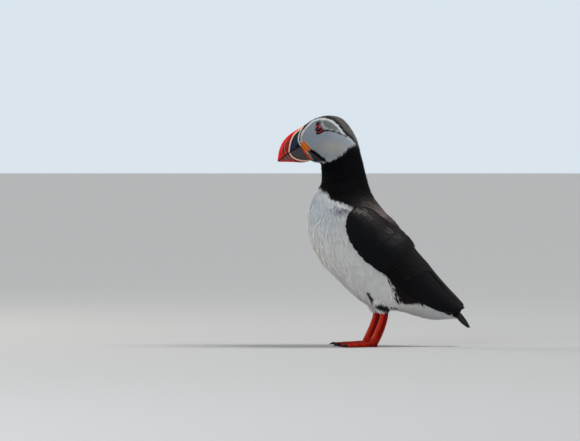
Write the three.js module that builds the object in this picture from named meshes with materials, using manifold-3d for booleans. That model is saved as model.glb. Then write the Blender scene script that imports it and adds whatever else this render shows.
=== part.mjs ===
// An Atlantic puffin standing upright, life size, as a museum model, in millimetres.
// +Z is up and the bird faces -Y, so its left side is +X. The origin is the middle of its footprint on
// the floor: half way from bill tip to tail tip, between the feet.
// The body is lofted whole and then parted with thin cuts; the bill, eyes, wings, tail, legs and feet
// are built against it. Every piece is a closed solid and keeps a small gap to the next.

import * as THREE from 'three';
import { LoftGeometry } from 'three/addons/geometries/LoftGeometry.js';
import { mergeVertices } from 'three/addons/utils/BufferGeometryUtils.js';
import Module from 'manifold-3d';

const wasm = await Module();
wasm.setup();

// ---- Driving dimensions -------------------------------------------------------------------------

const GAP = 0.3; // kept between touching pieces
const HUGE = 400; // longer than the bird, for cutting blocks
const TINY = 0.02; // share of its size at which a rounded end is closed

// The body from the bill's base over the crown and down to the tail. Each station is a slice through
// the body: where it meets the back, where it meets the front, its half width, how far below its
// middle the widest point lies, and how far the slice bows forwards.
const BODY = [
  { at: 'bill base', back: [-72, 229.5], front: [-66, 193], half: 7.4, low: 0.1, bow: 8 },
  { at: 'lores', back: [-67, 233.5], front: [-63.5, 191.8], half: 13.6, low: 0.16, bow: 7 },
  { at: 'forehead', back: [-60, 237.2], front: [-61, 191], half: 17.2, low: 0.2, bow: 5.5 },
  { at: 'crown', back: [-47, 240], front: [-57.5, 190.2], half: 20.8, low: 0.22, bow: 2.5 },
  { at: 'hind crown', back: [-33, 236.6], front: [-56, 188.8], half: 22.2, low: 0.18, bow: 0 },
  { at: 'nape', back: [-19.5, 219.5], front: [-55.3, 186], half: 21.4, low: 0.08, bow: 0 },
  { at: 'upper neck', back: [-12.4, 196], front: [-54.6, 179], half: 21.2, low: 0, bow: 0 },
  { at: 'neck', back: [-8, 178], front: [-55, 171], half: 22.8, low: 0, bow: 0 },
  { at: 'collar', back: [-2.5, 160.5], front: [-58.6, 163.6], half: 27.5, low: 0.02, bow: 0 },
  { at: 'shoulders', back: [8.5, 144], front: [-63.8, 153], half: 34.6, low: 0.04, bow: 0 },
  { at: 'upper breast', back: [22, 129.5], front: [-67.6, 138], half: 39.4, low: 0.06, bow: 0 },
  { at: 'breast', back: [34.5, 111.5], front: [-67, 116], half: 41.6, low: 0.04, bow: 0 },
  { at: 'belly', back: [44, 91.5], front: [-58.4, 93.4], half: 41, low: 0, bow: 0 },
  { at: 'lower belly', back: [51, 74.5], front: [-38.5, 70], half: 37, low: -0.02, bow: 0 },
  { at: 'vent', back: [61, 56], front: [-8, 44.2], half: 29.6, low: -0.04, bow: 0 },
  { at: 'rump', back: [71, 44.5], front: [27, 36], half: 20.5, low: -0.06, bow: 0 },
  { at: 'undertail', back: [80, 36.5], front: [57, 28.6], half: 12, low: -0.1, bow: 0 },
  { at: 'tail base', back: [86.5, 31], front: [80.5, 28.6], half: 6, low: 0, bow: 0 },
];
const BODY_RINGS = 39;
const BODY_SIDES = 24;
const HEAD_CUT = 0.345; // shares of the way along the stations at which the body is parted
const NECK_CUT = 0.487;
const RUMP_CUT = 0.833;

// The bill from tip to base, sliced by its ridge above and its keel below.
const BILL = [
  { ridge: [-100, 192.4], keel: [-99.6, 192], half: 0.7 },
  { ridge: [-99.5, 198.2], keel: [-96.8, 191.6], half: 2.2 },
  { ridge: [-97.8, 205.6], keel: [-92.6, 191.6], half: 3.5 },
  { ridge: [-94.4, 212.6], keel: [-87.2, 191.5], half: 4.7 },
  { ridge: [-88.9, 218.8], keel: [-81, 191.2], half: 5.7 },
  { ridge: [-82, 223.8], keel: [-74.6, 190.9], half: 6.6 },
  { ridge: [-74.6, 228.1], keel: [-68.6, 192], half: 7.3 },
  { ridge: [-66.5, 232], keel: [-61.5, 194.5], half: 7.8 },
];
const BILL_RINGS = 12;
const BILL_SIDES = 16;
const MOUTH = [[-62, 214.6], [-75, 208], [-87, 201.6], [-94.5, 196], [-101.5, 190.6]]; // from gape to tip
const CERE_WIDTH = 2.9;
const CERE_PROUD = 0.5;
const ROSETTE = [[-76.2, 210.4], [-73.4, 212.6], [-68.4, 208.6], [-65.4, 204.2], [-67.4, 202.2], [-71.6, 204]];
const ROSETTE_PROUD = 2.1;

const EYE_AT = [-57.6, 225.4];
const EYE_RADIUS = 4.7;
const EYE_SUNK = 3.3; // from the head's surface in to the eye's centre
const PLATE_PROUD = 1.3;
const UPPER_PLATE = [[-61.4, 229.6], [-59.6, 233.4], [-56.6, 233], [-55.4, 230.2], [-58.2, 229.4]];
const LOWER_PLATE = [[-60.9, 222.6], [-57.4, 221.2], [-51, 223.2], [-55.6, 219.6], [-60.1, 218.6]];

// The folded wing from its bend to the tip. Each station is a slice across it: the edge nearer the
// back, the edge nearer the belly, how far each stands from the body's midplane, how much the outer
// side bulges beyond the line between them and how much the inner side does.
const WING = [
  { upper: [-27.6, 136.6], lower: [-28.4, 134.4], out: [39.6, 40], bulge: 0.8, inner: 0.6 },
  { upper: [-21, 141.4], lower: [-28.8, 127], out: [38, 41.6], bulge: 4.4, inner: 6 },
  { upper: [-9, 139], lower: [-24.6, 113], out: [35.6, 43.2], bulge: 6.4, inner: 9 },
  { upper: [5, 131], lower: [-16, 100], out: [33.4, 43.4], bulge: 8.4, inner: 11 },
  { upper: [19, 121], lower: [-5, 88], out: [27.4, 43], bulge: 9.8, inner: 11 },
  { upper: [33, 110.4], lower: [8.6, 76.4], out: [17.8, 40.8], bulge: 11.4, inner: 10 },
  { upper: [44.4, 99.6], lower: [23, 64], out: [8.4, 37], bulge: 11.4, inner: 7 },
  { upper: [55.6, 86.6], lower: [38, 52], out: [3.6, 30.2], bulge: 9.4, inner: 3 },
  { upper: [67, 72], lower: [53.4, 42.8], out: [2.2, 22.6], bulge: 7, inner: 1 },
  { upper: [77.2, 59.8], lower: [67, 36.6], out: [1.8, 16], bulge: 4.6, inner: 0.4 },
  { upper: [86, 50.4], lower: [79.4, 34.6], out: [1.6, 10.8], bulge: 2.6, inner: 0 },
  { upper: [92.2, 43.8], lower: [89.4, 36.6], out: [2.4, 7.4], bulge: 1.2, inner: 0 },
  { upper: [94.8, 40.4], lower: [94.2, 39.2], out: [4.4, 5.2], bulge: 0.2, inner: 0 },
];
const WING_RINGS = 17;
const WING_STEPS = 7; // points along the outer and along the inner side of a slice
const WING_EDGE = 0.6; // half thickness at the edges
const COVERTS_CUT = { from: [34, 114], to: [3, 80] }; // rear border of the coverts
const HAND_CUT = { from: [62, 82], to: [30, 47] }; // tips of the secondaries over the primaries

// The tail feathers, a low roof from under the wing tips to the tail's end.
const TAIL = [
  { at: [68, 45], half: 6.5, thick: 2.6, droop: 1 },
  { at: [78, 37.4], half: 10.5, thick: 2.4, droop: 2.6 },
  { at: [86.6, 30.4], half: 13, thick: 2, droop: 3.4 },
  { at: [94, 24], half: 13, thick: 1.5, droop: 3 },
  { at: [98.6, 20], half: 9, thick: 1, droop: 1.4 },
  { at: [99.6, 18.9], half: 3, thick: 0.6, droop: 0.2 },
];
const TAIL_RINGS = 9;
const TAIL_SIDES = 16;

const LEG_OUT = 17; // from the midplane to the middle of each tarsus
const RIGHT_LEG_AHEAD = 7; // the right foot stands this much further forward
const RIGHT_FOOT_TURN = 18; // and is turned out by this, in degrees
const THIGH = [
  { at: [3, 64], deep: 12, wide: 9 },
  { at: [7.4, 50], deep: 10.5, wide: 8.4 },
  { at: [9.6, 41], deep: 8.2, wide: 6.6 },
  { at: [10.4, 36], deep: 6.2, wide: 4.6 },
];
const TARSUS = [
  { at: [11, 40], deep: 4.4, wide: 3 },
  { at: [10.2, 31], deep: 4.4, wide: 2.9 },
  { at: [6.9, 20.2], deep: 4.7, wide: 2.8 },
  { at: [3.2, 11.6], deep: 4.7, wide: 3.1 },
  { at: [-0.8, 2.6], deep: 4.8, wide: 3.6 },
];
const LEG_RINGS = 8;
const LEG_SIDES = 12;
const TOE_JOINT = [-0.6, 3];
const TOES = [
  { name: 'inner', length: 27, turn: -26 },
  { name: 'middle', length: 34.6, turn: 3 },
  { name: 'outer', length: 33, turn: 31 },
];
const TOE_RADIUS = { base: 3.1, tip: 1.7 };
const TOE_SIDES = 8;
const WEB_THICKNESS = 1.1;
const WEB_SCALLOP = 0.86; // how far the web's edge reaches between two toe tips
const CLAW_LENGTH = 6.8;
const CLAW_RADIUS = 1.5;

const COLOUR = {
  black: { color: 0x14130f, roughness: 0.85 },
  wing: { color: 0x17151a, roughness: 0.7 },
  white: { color: 0xe9e8e4, roughness: 0.9 },
  face: { color: 0xb4b6ba, roughness: 0.9 },
  bill: { color: 0xd9381e, roughness: 0.4 },
  cere: { color: 0xe8d9a8, roughness: 0.5 },
  rosette: { color: 0xf08a12, roughness: 0.5 },
  plate: { color: 0x4d5a66, roughness: 0.5 },
  eye: { color: 0x120d0b, roughness: 0.1 },
  leg: { color: 0xd8401a, roughness: 0.5 },
  claw: { color: 0x111111, roughness: 0.4 },
};

// ---- Helpers ------------------------------------------------------------------------------------

/** A closed solid from a geometry, its faces turned outwards. */
function solidOf(geometry) {
  const bare = geometry.index ? geometry.toNonIndexed() : geometry.clone();
  bare.deleteAttribute('normal');
  bare.deleteAttribute('uv');
  const merged = mergeVertices(bare, 1e-4);
  const corners = merged.index.array;
  const kept = [];
  for (let i = 0; i < corners.length; i += 3) {
    const [a, b, c] = [corners[i], corners[i + 1], corners[i + 2]];
    if (a !== b && b !== c && c !== a) kept.push(a, b, c);
  }
  const make = (triVerts) =>
    new wasm.Manifold(new wasm.Mesh({
      numProp: 3,
      vertProperties: new Float32Array(merged.attributes.position.array),
      triVerts: new Uint32Array(triVerts),
    }));
  const made = make(kept);
  return made.volume() < 0 ? make(kept.reverse()) : made;
}

/** A solid lofted through sections, closed at both ends. */
const loft = (sections) => solidOf(new LoftGeometry(sections, { capStart: true, capEnd: true }));

/** The geometry of a solid. */
function geometryOf(solid) {
  const { vertProperties, triVerts } = solid.getMesh();
  const geometry = new THREE.BufferGeometry();
  geometry.setAttribute('position', new THREE.BufferAttribute(vertProperties, 3));
  geometry.setIndex(new THREE.BufferAttribute(triVerts, 1));
  geometry.computeVertexNormals();
  return geometry;
}

/** The largest of the bodies in a solid, which drops the crumbs of a cut. */
const largest = (solid) => solid.decompose().sort((a, b) => b.volume() - a.volume())[0];

/** Smooth curve through [a, b] points, as x and y of a 3-D curve. */
const curve = (points) =>
  new THREE.CatmullRomCurve3(points.map(([a, b, c = 0]) => new THREE.Vector3(a, b, c)));

/** Evenly spaced shares from 0 to 1. */
const shares = (count) => Array.from({ length: count }, (_, i) => i / (count - 1));

/** A prism across the bird, from a closed outline of [y, z] points, between two distances out. */
function prism(outline, from, to) {
  const shape = new THREE.Shape(outline.map(([y, z]) => new THREE.Vector2(y, z)));
  const geometry = new THREE.ExtrudeGeometry(shape, { depth: to - from, bevelEnabled: false });
  // The shape's x and y become the bird's Y and Z, and its depth runs out along X.
  geometry.applyMatrix4(new THREE.Matrix4().makeBasis(
    new THREE.Vector3(0, 1, 0), new THREE.Vector3(0, 0, 1), new THREE.Vector3(1, 0, 0)));
  return solidOf(geometry.translate(from, 0, 0));
}

/** A blade-thin block along a polyline of [y, z] points, right across the bird. */
function blade(points, thickness) {
  const half = thickness / 2;
  const offset = (side) => points.map(([y, z], i) => {
    const [y0, z0] = points[Math.max(i - 1, 0)];
    const [y1, z1] = points[Math.min(i + 1, points.length - 1)];
    const length = Math.hypot(y1 - y0, z1 - z0);
    return [y - side * half * (z1 - z0) / length, z + side * half * (y1 - y0) / length];
  });
  return prism([...offset(1), ...offset(-1).reverse()], -HUGE / 2, HUGE / 2);
}

/** The blade through two [y, z] points, run on well past both. */
function straightBlade([y0, z0], [y1, z1], past = 60) {
  const along = new THREE.Vector2(y1 - y0, z1 - z0).setLength(past);
  return blade([[y0 - along.x, z0 - along.y], [y1 + along.x, z1 + along.y]], GAP);
}

/** The block on one side of the midplane, from a small distance out. */
const halfSpace = (side, from = GAP / 2) =>
  solidOf(new THREE.BoxGeometry(HUGE, 2 * HUGE, 2 * HUGE).translate(side * (HUGE / 2 + from), 0, 0));

/** The block above the floor. */
const aboveFloor = solidOf(new THREE.BoxGeometry(HUGE, HUGE, HUGE).translate(0, 0, HUGE / 2));

/** The mirror image of a solid across the bird's midplane. */
const mirrored = (solid) => solid.mirror([1, 0, 0]);

// ---- The body -----------------------------------------------------------------------------------

const bodyCurves = {
  back: curve(BODY.map((s) => s.back)),
  front: curve(BODY.map((s) => s.front)),
  form: curve(BODY.map((s) => [s.half, s.low, s.bow])),
};

/** The frame of the slice at a share of the way along the body. */
function bodySlice(share) {
  const back = bodyCurves.back.getPoint(share);
  const front = bodyCurves.front.getPoint(share);
  const { x: half, y: low, z: bow } = bodyCurves.form.getPoint(share);
  const span = new THREE.Vector2(back.x - front.x, back.y - front.y);
  const reach = span.length() / 2;
  const up = span.normalize();
  return {
    middle: new THREE.Vector2((back.x + front.x) / 2, (back.y + front.y) / 2),
    up, ahead: new THREE.Vector2(-up.y, up.x), reach, half, low, bow,
  };
}

/** One ring of points round a slice, grown outwards, or shrunk towards its middle by a scale. */
function bodyRing(share, grow = 0, scale = 1) {
  const { middle, up, ahead, reach, half, low, bow } = bodySlice(share);
  return Array.from({ length: BODY_SIDES }, (_, i) => {
    const angle = 2 * Math.PI * i / BODY_SIDES;
    const height = scale * (Math.cos(angle) - low * Math.sin(angle) ** 2);
    const out = scale * (half + grow) * Math.sin(angle);
    const forward = bow * (1 - height ** 2) + grow * (1 - scale);
    const y = middle.x + up.x * (reach + grow) * height + ahead.x * forward;
    const z = middle.y + up.y * (reach + grow) * height + ahead.y * forward;
    return new THREE.Vector3(out, y, z);
  });
}

/** The whole body from face to tail base, grown outwards by a clearance. */
function bodySolid(grow = 0) {
  const rings = shares(BODY_RINGS).map((share) => bodyRing(share, grow));
  return loft([bodyRing(0, grow, TINY), bodyRing(0, grow, 0.6), ...rings]);
}

/** The blade that follows the slice at a share of the way along the body. */
function bodyCut(share) {
  const { middle, up, reach } = bodySlice(share);
  const end = (side) => [middle.x + side * up.x * reach, middle.y + side * up.y * reach];
  return straightBlade(end(-1), end(1), 20);
}

// ---- The bill -----------------------------------------------------------------------------------

/** The bill's outer form, run on into the head. */
function billSolid(grow = 0) {
  const ridge = curve(BILL.map((s) => s.ridge));
  const keel = curve(BILL.map((s) => s.keel));
  const width = curve(BILL.map((s) => [s.half, 0]));
  return loft(shares(BILL_RINGS).map((share) => {
    const top = ridge.getPoint(share);
    const foot = keel.getPoint(share);
    const half = width.getPoint(share).x + grow;
    return Array.from({ length: BILL_SIDES }, (_, i) => {
      const angle = 2 * Math.PI * i / BILL_SIDES;
      const height = Math.cos(angle);
      const swell = Math.abs(Math.sin(angle)) ** 0.9 * (1 - 0.22 * height);
      const y = THREE.MathUtils.lerp(foot.x, top.x, (1 + height) / 2);
      const z = THREE.MathUtils.lerp(foot.y, top.y, (1 + height) / 2) + grow * height;
      return new THREE.Vector3(Math.sign(Math.sin(angle)) * half * swell, y, z);
    });
  }));
}

/** Upper and lower bill and the fleshy cere round the base of the upper one. */
function billPieces(head) {
  const cereFront = head.translate([0, -CERE_WIDTH, 0.4]);
  const part = (solid, upper) => {
    const halves = solid.subtract(blade(MOUTH, GAP)).decompose()
      .sort((a, b) => b.volume() - a.volume()).slice(0, 2);
    const heightOf = (piece) => (piece.boundingBox().min[2] + piece.boundingBox().max[2]) / 2;
    halves.sort((a, b) => heightOf(b) - heightOf(a));
    return upper ? halves[0] : halves[1];
  };
  const whole = billSolid();
  return {
    upper: largest(part(whole, true).subtract(cereFront.translate([0, -GAP, 0]))),
    lower: largest(part(whole, false).subtract(head)),
    cere: largest(part(billSolid(CERE_PROUD), true).intersect(cereFront).subtract(head)),
  };
}

// ---- Face details, on the left side -------------------------------------------------------------

/** A plate that lies on the head inside an outline, from the gap out to a height. */
const plateOnHead = (outline, proud) =>
  prism(outline, 2, HUGE / 2).intersect(bodySolid(proud)).subtract(bodySolid(GAP));

/** The eyeball, sunk into the side of the head. */
function eyeSolid(head) {
  const mesh = new THREE.Mesh(geometryOf(head));
  const [y, z] = EYE_AT;
  const ray = new THREE.Raycaster(new THREE.Vector3(HUGE, y, z), new THREE.Vector3(-1, 0, 0));
  const { point } = ray.intersectObject(mesh)[0];
  const ball = (radius) =>
    solidOf(new THREE.SphereGeometry(radius, 12, 8).translate(point.x - EYE_SUNK, y, z));
  return { eye: ball(EYE_RADIUS), socket: ball(EYE_RADIUS + GAP) };
}

// ---- Wings, on the left side --------------------------------------------------------------------

/** The folded wing before it is fitted to the body. */
function wingBlank() {
  const upper = curve(WING.map((s) => [...s.upper, s.out[0]]));
  const lower = curve(WING.map((s) => [...s.lower, s.out[1]]));
  const form = curve(WING.map((s) => [s.bulge, s.inner]));
  return loft(shares(WING_RINGS).map((share) => {
    const [a, b] = [upper, lower].map((line) => {
      const { x: y, y: z, z: x } = line.getPoint(share);
      return new THREE.Vector3(x, y, z);
    });
    const { x: bulge, y: inner } = form.getPoint(share);
    const chord = b.clone().sub(a).normalize();
    const outward = new THREE.Vector3(1, 0, 0).addScaledVector(chord, -chord.x).normalize();
    const side = (depth, edge) => shares(WING_STEPS).map((v) =>
      a.clone().lerp(b, v).addScaledVector(outward, depth * Math.sin(Math.PI * v) ** 0.85 + edge));
    return [...side(bulge, WING_EDGE), ...side(-inner, -WING_EDGE).reverse()];
  }));
}

/** The wing parted into its coverts, its secondaries and its primaries. */
function wingPieces(body) {
  const fitted = largest(wingBlank().subtract(body).intersect(halfSpace(1, 0.4)));
  const cuts = [COVERTS_CUT, HAND_CUT].map(({ from, to }) => straightBlade(from, to, 30));
  const parted = fitted.subtract(cuts[0].add(cuts[1])).decompose()
    .sort((a, b) => b.volume() - a.volume()).slice(0, 3)
    .sort((a, b) => a.boundingBox().min[1] - b.boundingBox().min[1]);
  return { coverts: parted[0], secondaries: parted[1], primaries: parted[2], whole: fitted };
}

// ---- Tail, legs and feet ------------------------------------------------------------------------

/** The tail feathers as one low roof. */
function tailSolid() {
  const path = curve(TAIL.map((s) => s.at));
  const form = curve(TAIL.map((s) => [s.half, s.thick, s.droop]));
  return loft(shares(TAIL_RINGS).map((share) => {
    const at = path.getPoint(share);
    const along = path.getTangent(share);
    const { x: half, y: thick, z: droop } = form.getPoint(share);
    return Array.from({ length: TAIL_SIDES }, (_, i) => {
      const angle = 2 * Math.PI * i / TAIL_SIDES;
      const out = half * Math.sin(angle);
      const lift = thick * Math.cos(angle) - droop * Math.sin(angle) ** 2;
      return new THREE.Vector3(out, at.x - along.y * lift, at.y + along.x * lift);
    });
  }));
}

/** A limb lofted along its stations, ellipse by ellipse, in the plane x = out. */
function limb(stations, out, ahead, rings, grow = 0) {
  const path = curve(stations.map((s) => s.at));
  const form = curve(stations.map((s) => [s.deep, s.wide]));
  return loft(shares(rings).map((share) => {
    const at = path.getPoint(share);
    const along = path.getTangent(share);
    const { x: deep, y: wide } = form.getPoint(share);
    return Array.from({ length: LEG_SIDES }, (_, i) => {
      const angle = 2 * Math.PI * i / LEG_SIDES;
      const reach = (deep + grow) * Math.cos(angle);
      return new THREE.Vector3(
        out + (wide + grow) * Math.sin(angle), at.x - ahead - along.y * reach, at.y + along.x * reach);
    });
  }));
}

/** Where a toe runs, from the toe joint to its tip, and the way it points on the floor. */
function toePath({ length, turn }, out, ahead) {
  const heading = THREE.MathUtils.degToRad(turn);
  const way = new THREE.Vector3(Math.sin(heading), -Math.cos(heading), 0);
  const [y, z] = TOE_JOINT;
  const start = new THREE.Vector3(out, y - ahead, z);
  const stop = (share, height) => start.clone().addScaledVector(way, share * length).setZ(height);
  return { way, tip: stop(1, 1.5), path: new THREE.CatmullRomCurve3(
    [start, stop(0.22, 2.5), stop(0.45, 2.2), stop(0.72, 1.9), stop(1, 1.5)]) };
}

/** A round bar along a path whose radius goes evenly from one end to the other. */
function taperedBar(path, from, to, rings) {
  return loft(shares(rings).map((share) => {
    const at = path.getPoint(share);
    const along = path.getTangent(share);
    const side = new THREE.Vector3(0, 0, 1).cross(along).normalize();
    const up = along.clone().cross(side).normalize();
    const radius = THREE.MathUtils.lerp(from, to, share);
    return Array.from({ length: TOE_SIDES }, (_, i) => {
      const angle = 2 * Math.PI * i / TOE_SIDES;
      return at.clone().addScaledVector(side, radius * Math.cos(angle))
        .addScaledVector(up, radius * Math.sin(angle));
    });
  }));
}

/** The web between the toes, its front edge scalloped. */
function webSolid(toes) {
  const [inner, middle, outer] = toes.map(({ tip }) => new THREE.Vector2(tip.x, tip.y));
  const joint = toes[0].path.getPoint(0);
  const heel = new THREE.Vector2(joint.x, joint.y);
  const between = (a, b) => a.clone().lerp(b, 0.5).sub(heel).multiplyScalar(WEB_SCALLOP).add(heel);
  const shape = new THREE.Shape([heel]);
  shape.lineTo(inner.x, inner.y);
  [[inner, middle], [middle, outer]].forEach(([a, b]) => {
    const low = between(a, b);
    shape.quadraticCurveTo(low.x, low.y, b.x, b.y);
  });
  shape.closePath();
  const geometry = new THREE.ExtrudeGeometry(shape,
    { depth: WEB_THICKNESS, bevelEnabled: false, curveSegments: 5 });
  return solidOf(geometry);
}

/** A hooked claw that carries a toe's line on and down to the floor. */
function clawSolid({ way, tip }) {
  const stop = (share, height) =>
    tip.clone().addScaledVector(way, GAP + share * CLAW_LENGTH).setZ(height);
  const path = new THREE.CatmullRomCurve3([stop(0, 1.7), stop(0.35, 2.1), stop(0.72, 1.6), stop(1, 0.5)]);
  return taperedBar(path, CLAW_RADIUS, 0.3, 5).intersect(aboveFloor);
}

/** One leg: feathered thigh, tarsus, webbed foot and its three claws. */
function legPieces(side, body) {
  const out = side * LEG_OUT;
  const [ahead, turn] = side > 0 ? [0, 0] : [RIGHT_LEG_AHEAD, RIGHT_FOOT_TURN];
  const toes = TOES.map((toe) => toePath({ ...toe, turn: side * (toe.turn + turn) }, out, ahead));
  const shank = limb(TARSUS, out, ahead, LEG_RINGS);
  const thigh = limb(THIGH, out, ahead, 6);
  const bars = toes.map(({ path }) => taperedBar(path, TOE_RADIUS.base, TOE_RADIUS.tip, 6));
  const foot = bars.reduce((whole, bar) => whole.add(bar), webSolid(toes)).intersect(aboveFloor);
  const instep = solidOf(new THREE.BoxGeometry(40, 60, 2 * 5.2).translate(out, -ahead, 0));
  return {
    thigh: largest(thigh.subtract(body)),
    tarsus: largest(shank.subtract(limb(THIGH, out, ahead, 6, GAP)).subtract(body)
      .subtract(foot.add(instep))),
    foot: largest(foot.add(shank.intersect(aboveFloor)
      .intersect(solidOf(new THREE.BoxGeometry(40, 60, 2 * (5.2 - GAP)).translate(out, -ahead, 0))))),
    claws: toes.map((toe, i) => [TOES[i].name, clawSolid(toe)]),
  };
}

// ---- Putting the bird together ------------------------------------------------------------------

const root = new THREE.Group();
const material = Object.fromEntries(Object.entries(COLOUR).map(([name, look]) =>
  [name, new THREE.MeshStandardMaterial({ ...look, metalness: 0 })]));

/** Adds one named solid to the bird. */
function add(name, solid, look) {
  const mesh = new THREE.Mesh(geometryOf(solid), material[look]);
  mesh.name = name;
  root.add(mesh);
}

const body = bodySolid();
const clearBody = bodySolid(GAP);
const { eye, socket } = eyeSolid(body);
const cuts = [HEAD_CUT, NECK_CUT, RUMP_CUT].map(bodyCut).reduce((a, b) => a.add(b));
const bodyParts = body.subtract(socket).subtract(mirrored(socket)).subtract(cuts).decompose()
  .sort((a, b) => b.volume() - a.volume()).slice(0, 4)
  .sort((a, b) => b.boundingBox().max[2] - a.boundingBox().max[2]);
[['head', 'face'], ['neck', 'black'], ['trunk', 'white'], ['rump', 'white']]
  .forEach(([name, look], i) => add(name, bodyParts[i], look));

const bill = billPieces(clearBody);
add('bill_upper', bill.upper, 'bill');
add('bill_lower', bill.lower, 'bill');
add('cere', bill.cere, 'cere');

const billClear = billSolid(CERE_PROUD + GAP).intersect(
  solidOf(new THREE.BoxGeometry(HUGE, 100, HUGE).translate(0, -50 - 71.6, 0)));
const faceParts = {
  eye: [eye, 'eye'],
  eye_plate_upper: [largest(plateOnHead(UPPER_PLATE, PLATE_PROUD).subtract(socket)), 'plate'],
  eye_plate_lower: [largest(plateOnHead(LOWER_PLATE, PLATE_PROUD).subtract(socket)), 'plate'],
  gape_rosette: [largest(plateOnHead(ROSETTE, ROSETTE_PROUD).subtract(billClear)), 'rosette'],
};
const wing = wingPieces(clearBody);
const wingParts = {
  wing_coverts: [wing.coverts, 'wing'],
  wing_secondaries: [wing.secondaries, 'wing'],
  wing_primaries: [wing.primaries, 'wing'],
};
for (const [name, [solid, look]] of Object.entries({ ...faceParts, ...wingParts })) {
  add(`${name}_left`, solid, look);
  add(`${name}_right`, mirrored(solid), look);
}

const wingClear = wing.whole.add(mirrored(wing.whole));
add('tail', largest(tailSolid().subtract(clearBody).subtract(wingClear)), 'black');

for (const [name, side] of [['left', 1], ['right', -1]]) {
  const leg = legPieces(side, clearBody);
  add(`thigh_${name}`, leg.thigh, 'white');
  add(`tarsus_${name}`, leg.tarsus, 'leg');
  add(`foot_${name}`, leg.foot, 'leg');
  leg.claws.forEach(([toe, solid]) => add(`claw_${toe}_${name}`, solid, 'claw'));
}

export default root;
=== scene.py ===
"""The looks of a life-size Atlantic puffin: skin, plumage, bill, eyes, legs and feet around the CAD frame.

All sizes are in millimetres unless they say otherwise, and turn into metres where a mesh is made.
The bird faces -Y with its left side at +X and stands on z = 0. "Side view" means the Y-Z plane.
"""
import logging
import math
from dataclasses import dataclass, field, replace
from enum import Enum
from typing import Callable, Sequence

import bpy
import numpy as np
from bpy.types import Material, Mesh, Node, NodeSocket, Object
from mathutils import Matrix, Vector
from mathutils.bvhtree import BVHTree


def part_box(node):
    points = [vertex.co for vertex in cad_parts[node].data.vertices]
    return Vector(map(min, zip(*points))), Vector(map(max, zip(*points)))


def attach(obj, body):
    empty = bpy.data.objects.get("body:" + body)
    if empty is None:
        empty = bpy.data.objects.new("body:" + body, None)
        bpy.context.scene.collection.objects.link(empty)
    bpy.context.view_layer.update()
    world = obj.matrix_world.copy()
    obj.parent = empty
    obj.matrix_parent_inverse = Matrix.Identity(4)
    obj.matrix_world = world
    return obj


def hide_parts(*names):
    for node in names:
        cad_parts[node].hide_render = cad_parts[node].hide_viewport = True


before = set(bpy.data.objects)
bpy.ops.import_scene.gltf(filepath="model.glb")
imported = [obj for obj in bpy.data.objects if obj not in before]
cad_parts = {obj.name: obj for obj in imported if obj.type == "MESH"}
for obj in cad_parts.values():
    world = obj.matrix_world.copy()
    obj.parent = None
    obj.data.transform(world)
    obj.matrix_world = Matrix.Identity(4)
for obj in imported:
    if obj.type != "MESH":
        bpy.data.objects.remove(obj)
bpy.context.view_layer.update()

LOG = logging.getLogger("puffin")
MM = 0.001
BODY = "root"
BAKE_MAP = "OFBake"
TUFT_PATCH = 0.003
EDGE_ANGLE = math.radians(75)
Array = np.ndarray
Pair = tuple[float, float]
Line = tuple[Pair, ...]
Colour = tuple[float, float, float]


class Side(Enum):
    """The two sides of the bird, by the sign of their X."""

    LEFT = 1
    RIGHT = -1

    @property
    def word(self) -> str:
        """The side's name as the CAD nodes spell it."""
        return self.name.lower()


# Curves, outlines and colours


def through(points: Sequence[Sequence[float]], share: Array) -> Array:
    """A centripetal Catmull-Rom curve through points, the same one that the CAD lofts follow.

    Args:
        points: the points, of any dimension.
        share: how far along the curve, from 0 to 1, in any shape.

    Returns:
        The curve's points, with share's shape and one more axis.
    """
    knots = np.asarray(points, float)
    place = np.clip(np.asarray(share, float), 0, 1) * (len(knots) - 1)
    first = np.minimum(place.astype(int), len(knots) - 2)
    w = (place - first)[..., None]
    run_out = np.vstack([2 * knots[0] - knots[1], knots, 2 * knots[-1] - knots[-2]])
    a, b, c, d = (run_out[first + k] for k in range(4))
    ab, bc, cd = (
        np.maximum(np.linalg.norm(q - p, axis=-1, keepdims=True), 1e-8) ** 0.5
        for p, q in ((a, b), (b, c), (c, d))
    )
    leave = ((b - a) / ab - (c - a) / (ab + bc) + (c - b) / bc) * bc
    reach = ((c - b) / bc - (d - b) / (bc + cd) + (d - c) / cd) * bc
    return b + w * (leave + w * (3 * (c - b) - 2 * leave - reach + w * (2 * (b - c) + leave + reach)))


def traced(points: Sequence[Sequence[float]], count: int = 60) -> Array:
    """A number of points along the curve through some points."""
    return through(points, np.linspace(0, 1, count))


def turns(count: int) -> Array:
    """Angles spread evenly round a circle."""
    return np.arange(count) * math.tau / count


def smooth(low: float, high: float, value: Array) -> Array:
    """A smooth step from 0 at low to 1 at high."""
    t = np.clip((np.asarray(value, float) - low) / (high - low), 0, 1)
    return t * t * (3 - 2 * t)


def hill(value: Array, width: float) -> Array:
    """A bell that is 1 at zero and fades over a width."""
    return np.exp(-(value / width) ** 2)


def spot(points: Array, middle: Pair, size: Pair) -> Array:
    """A round bell on the side view, 1 in its middle."""
    return np.exp(-np.sum(((points - middle) / size) ** 2, axis=1))


def blend(one: Array | Colour, other: Array | Colour, share: Array) -> Array:
    """Two colours, or rows of them, mixed by a share at each point."""
    share = np.asarray(share, float)[:, None]
    return np.asarray(one) * (1 - share) + np.asarray(other) * share


def layered(tone: Array | Colour, *layers: tuple[Array | Colour, Array]) -> Array:
    """A colour with others laid over it one by one, each by its own share.

    Args:
        tone: the lowest colour, or rows of them.
        layers: pairs of a colour and its share at each point.

    Returns:
        RGB rows.
    """
    for other, share in layers:
        tone = blend(tone, other, share)
    return tone


def opaque(colours: Array) -> Array:
    """RGB rows as RGBA rows."""
    return np.hstack([colours, np.ones((len(colours), 1))])


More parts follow.
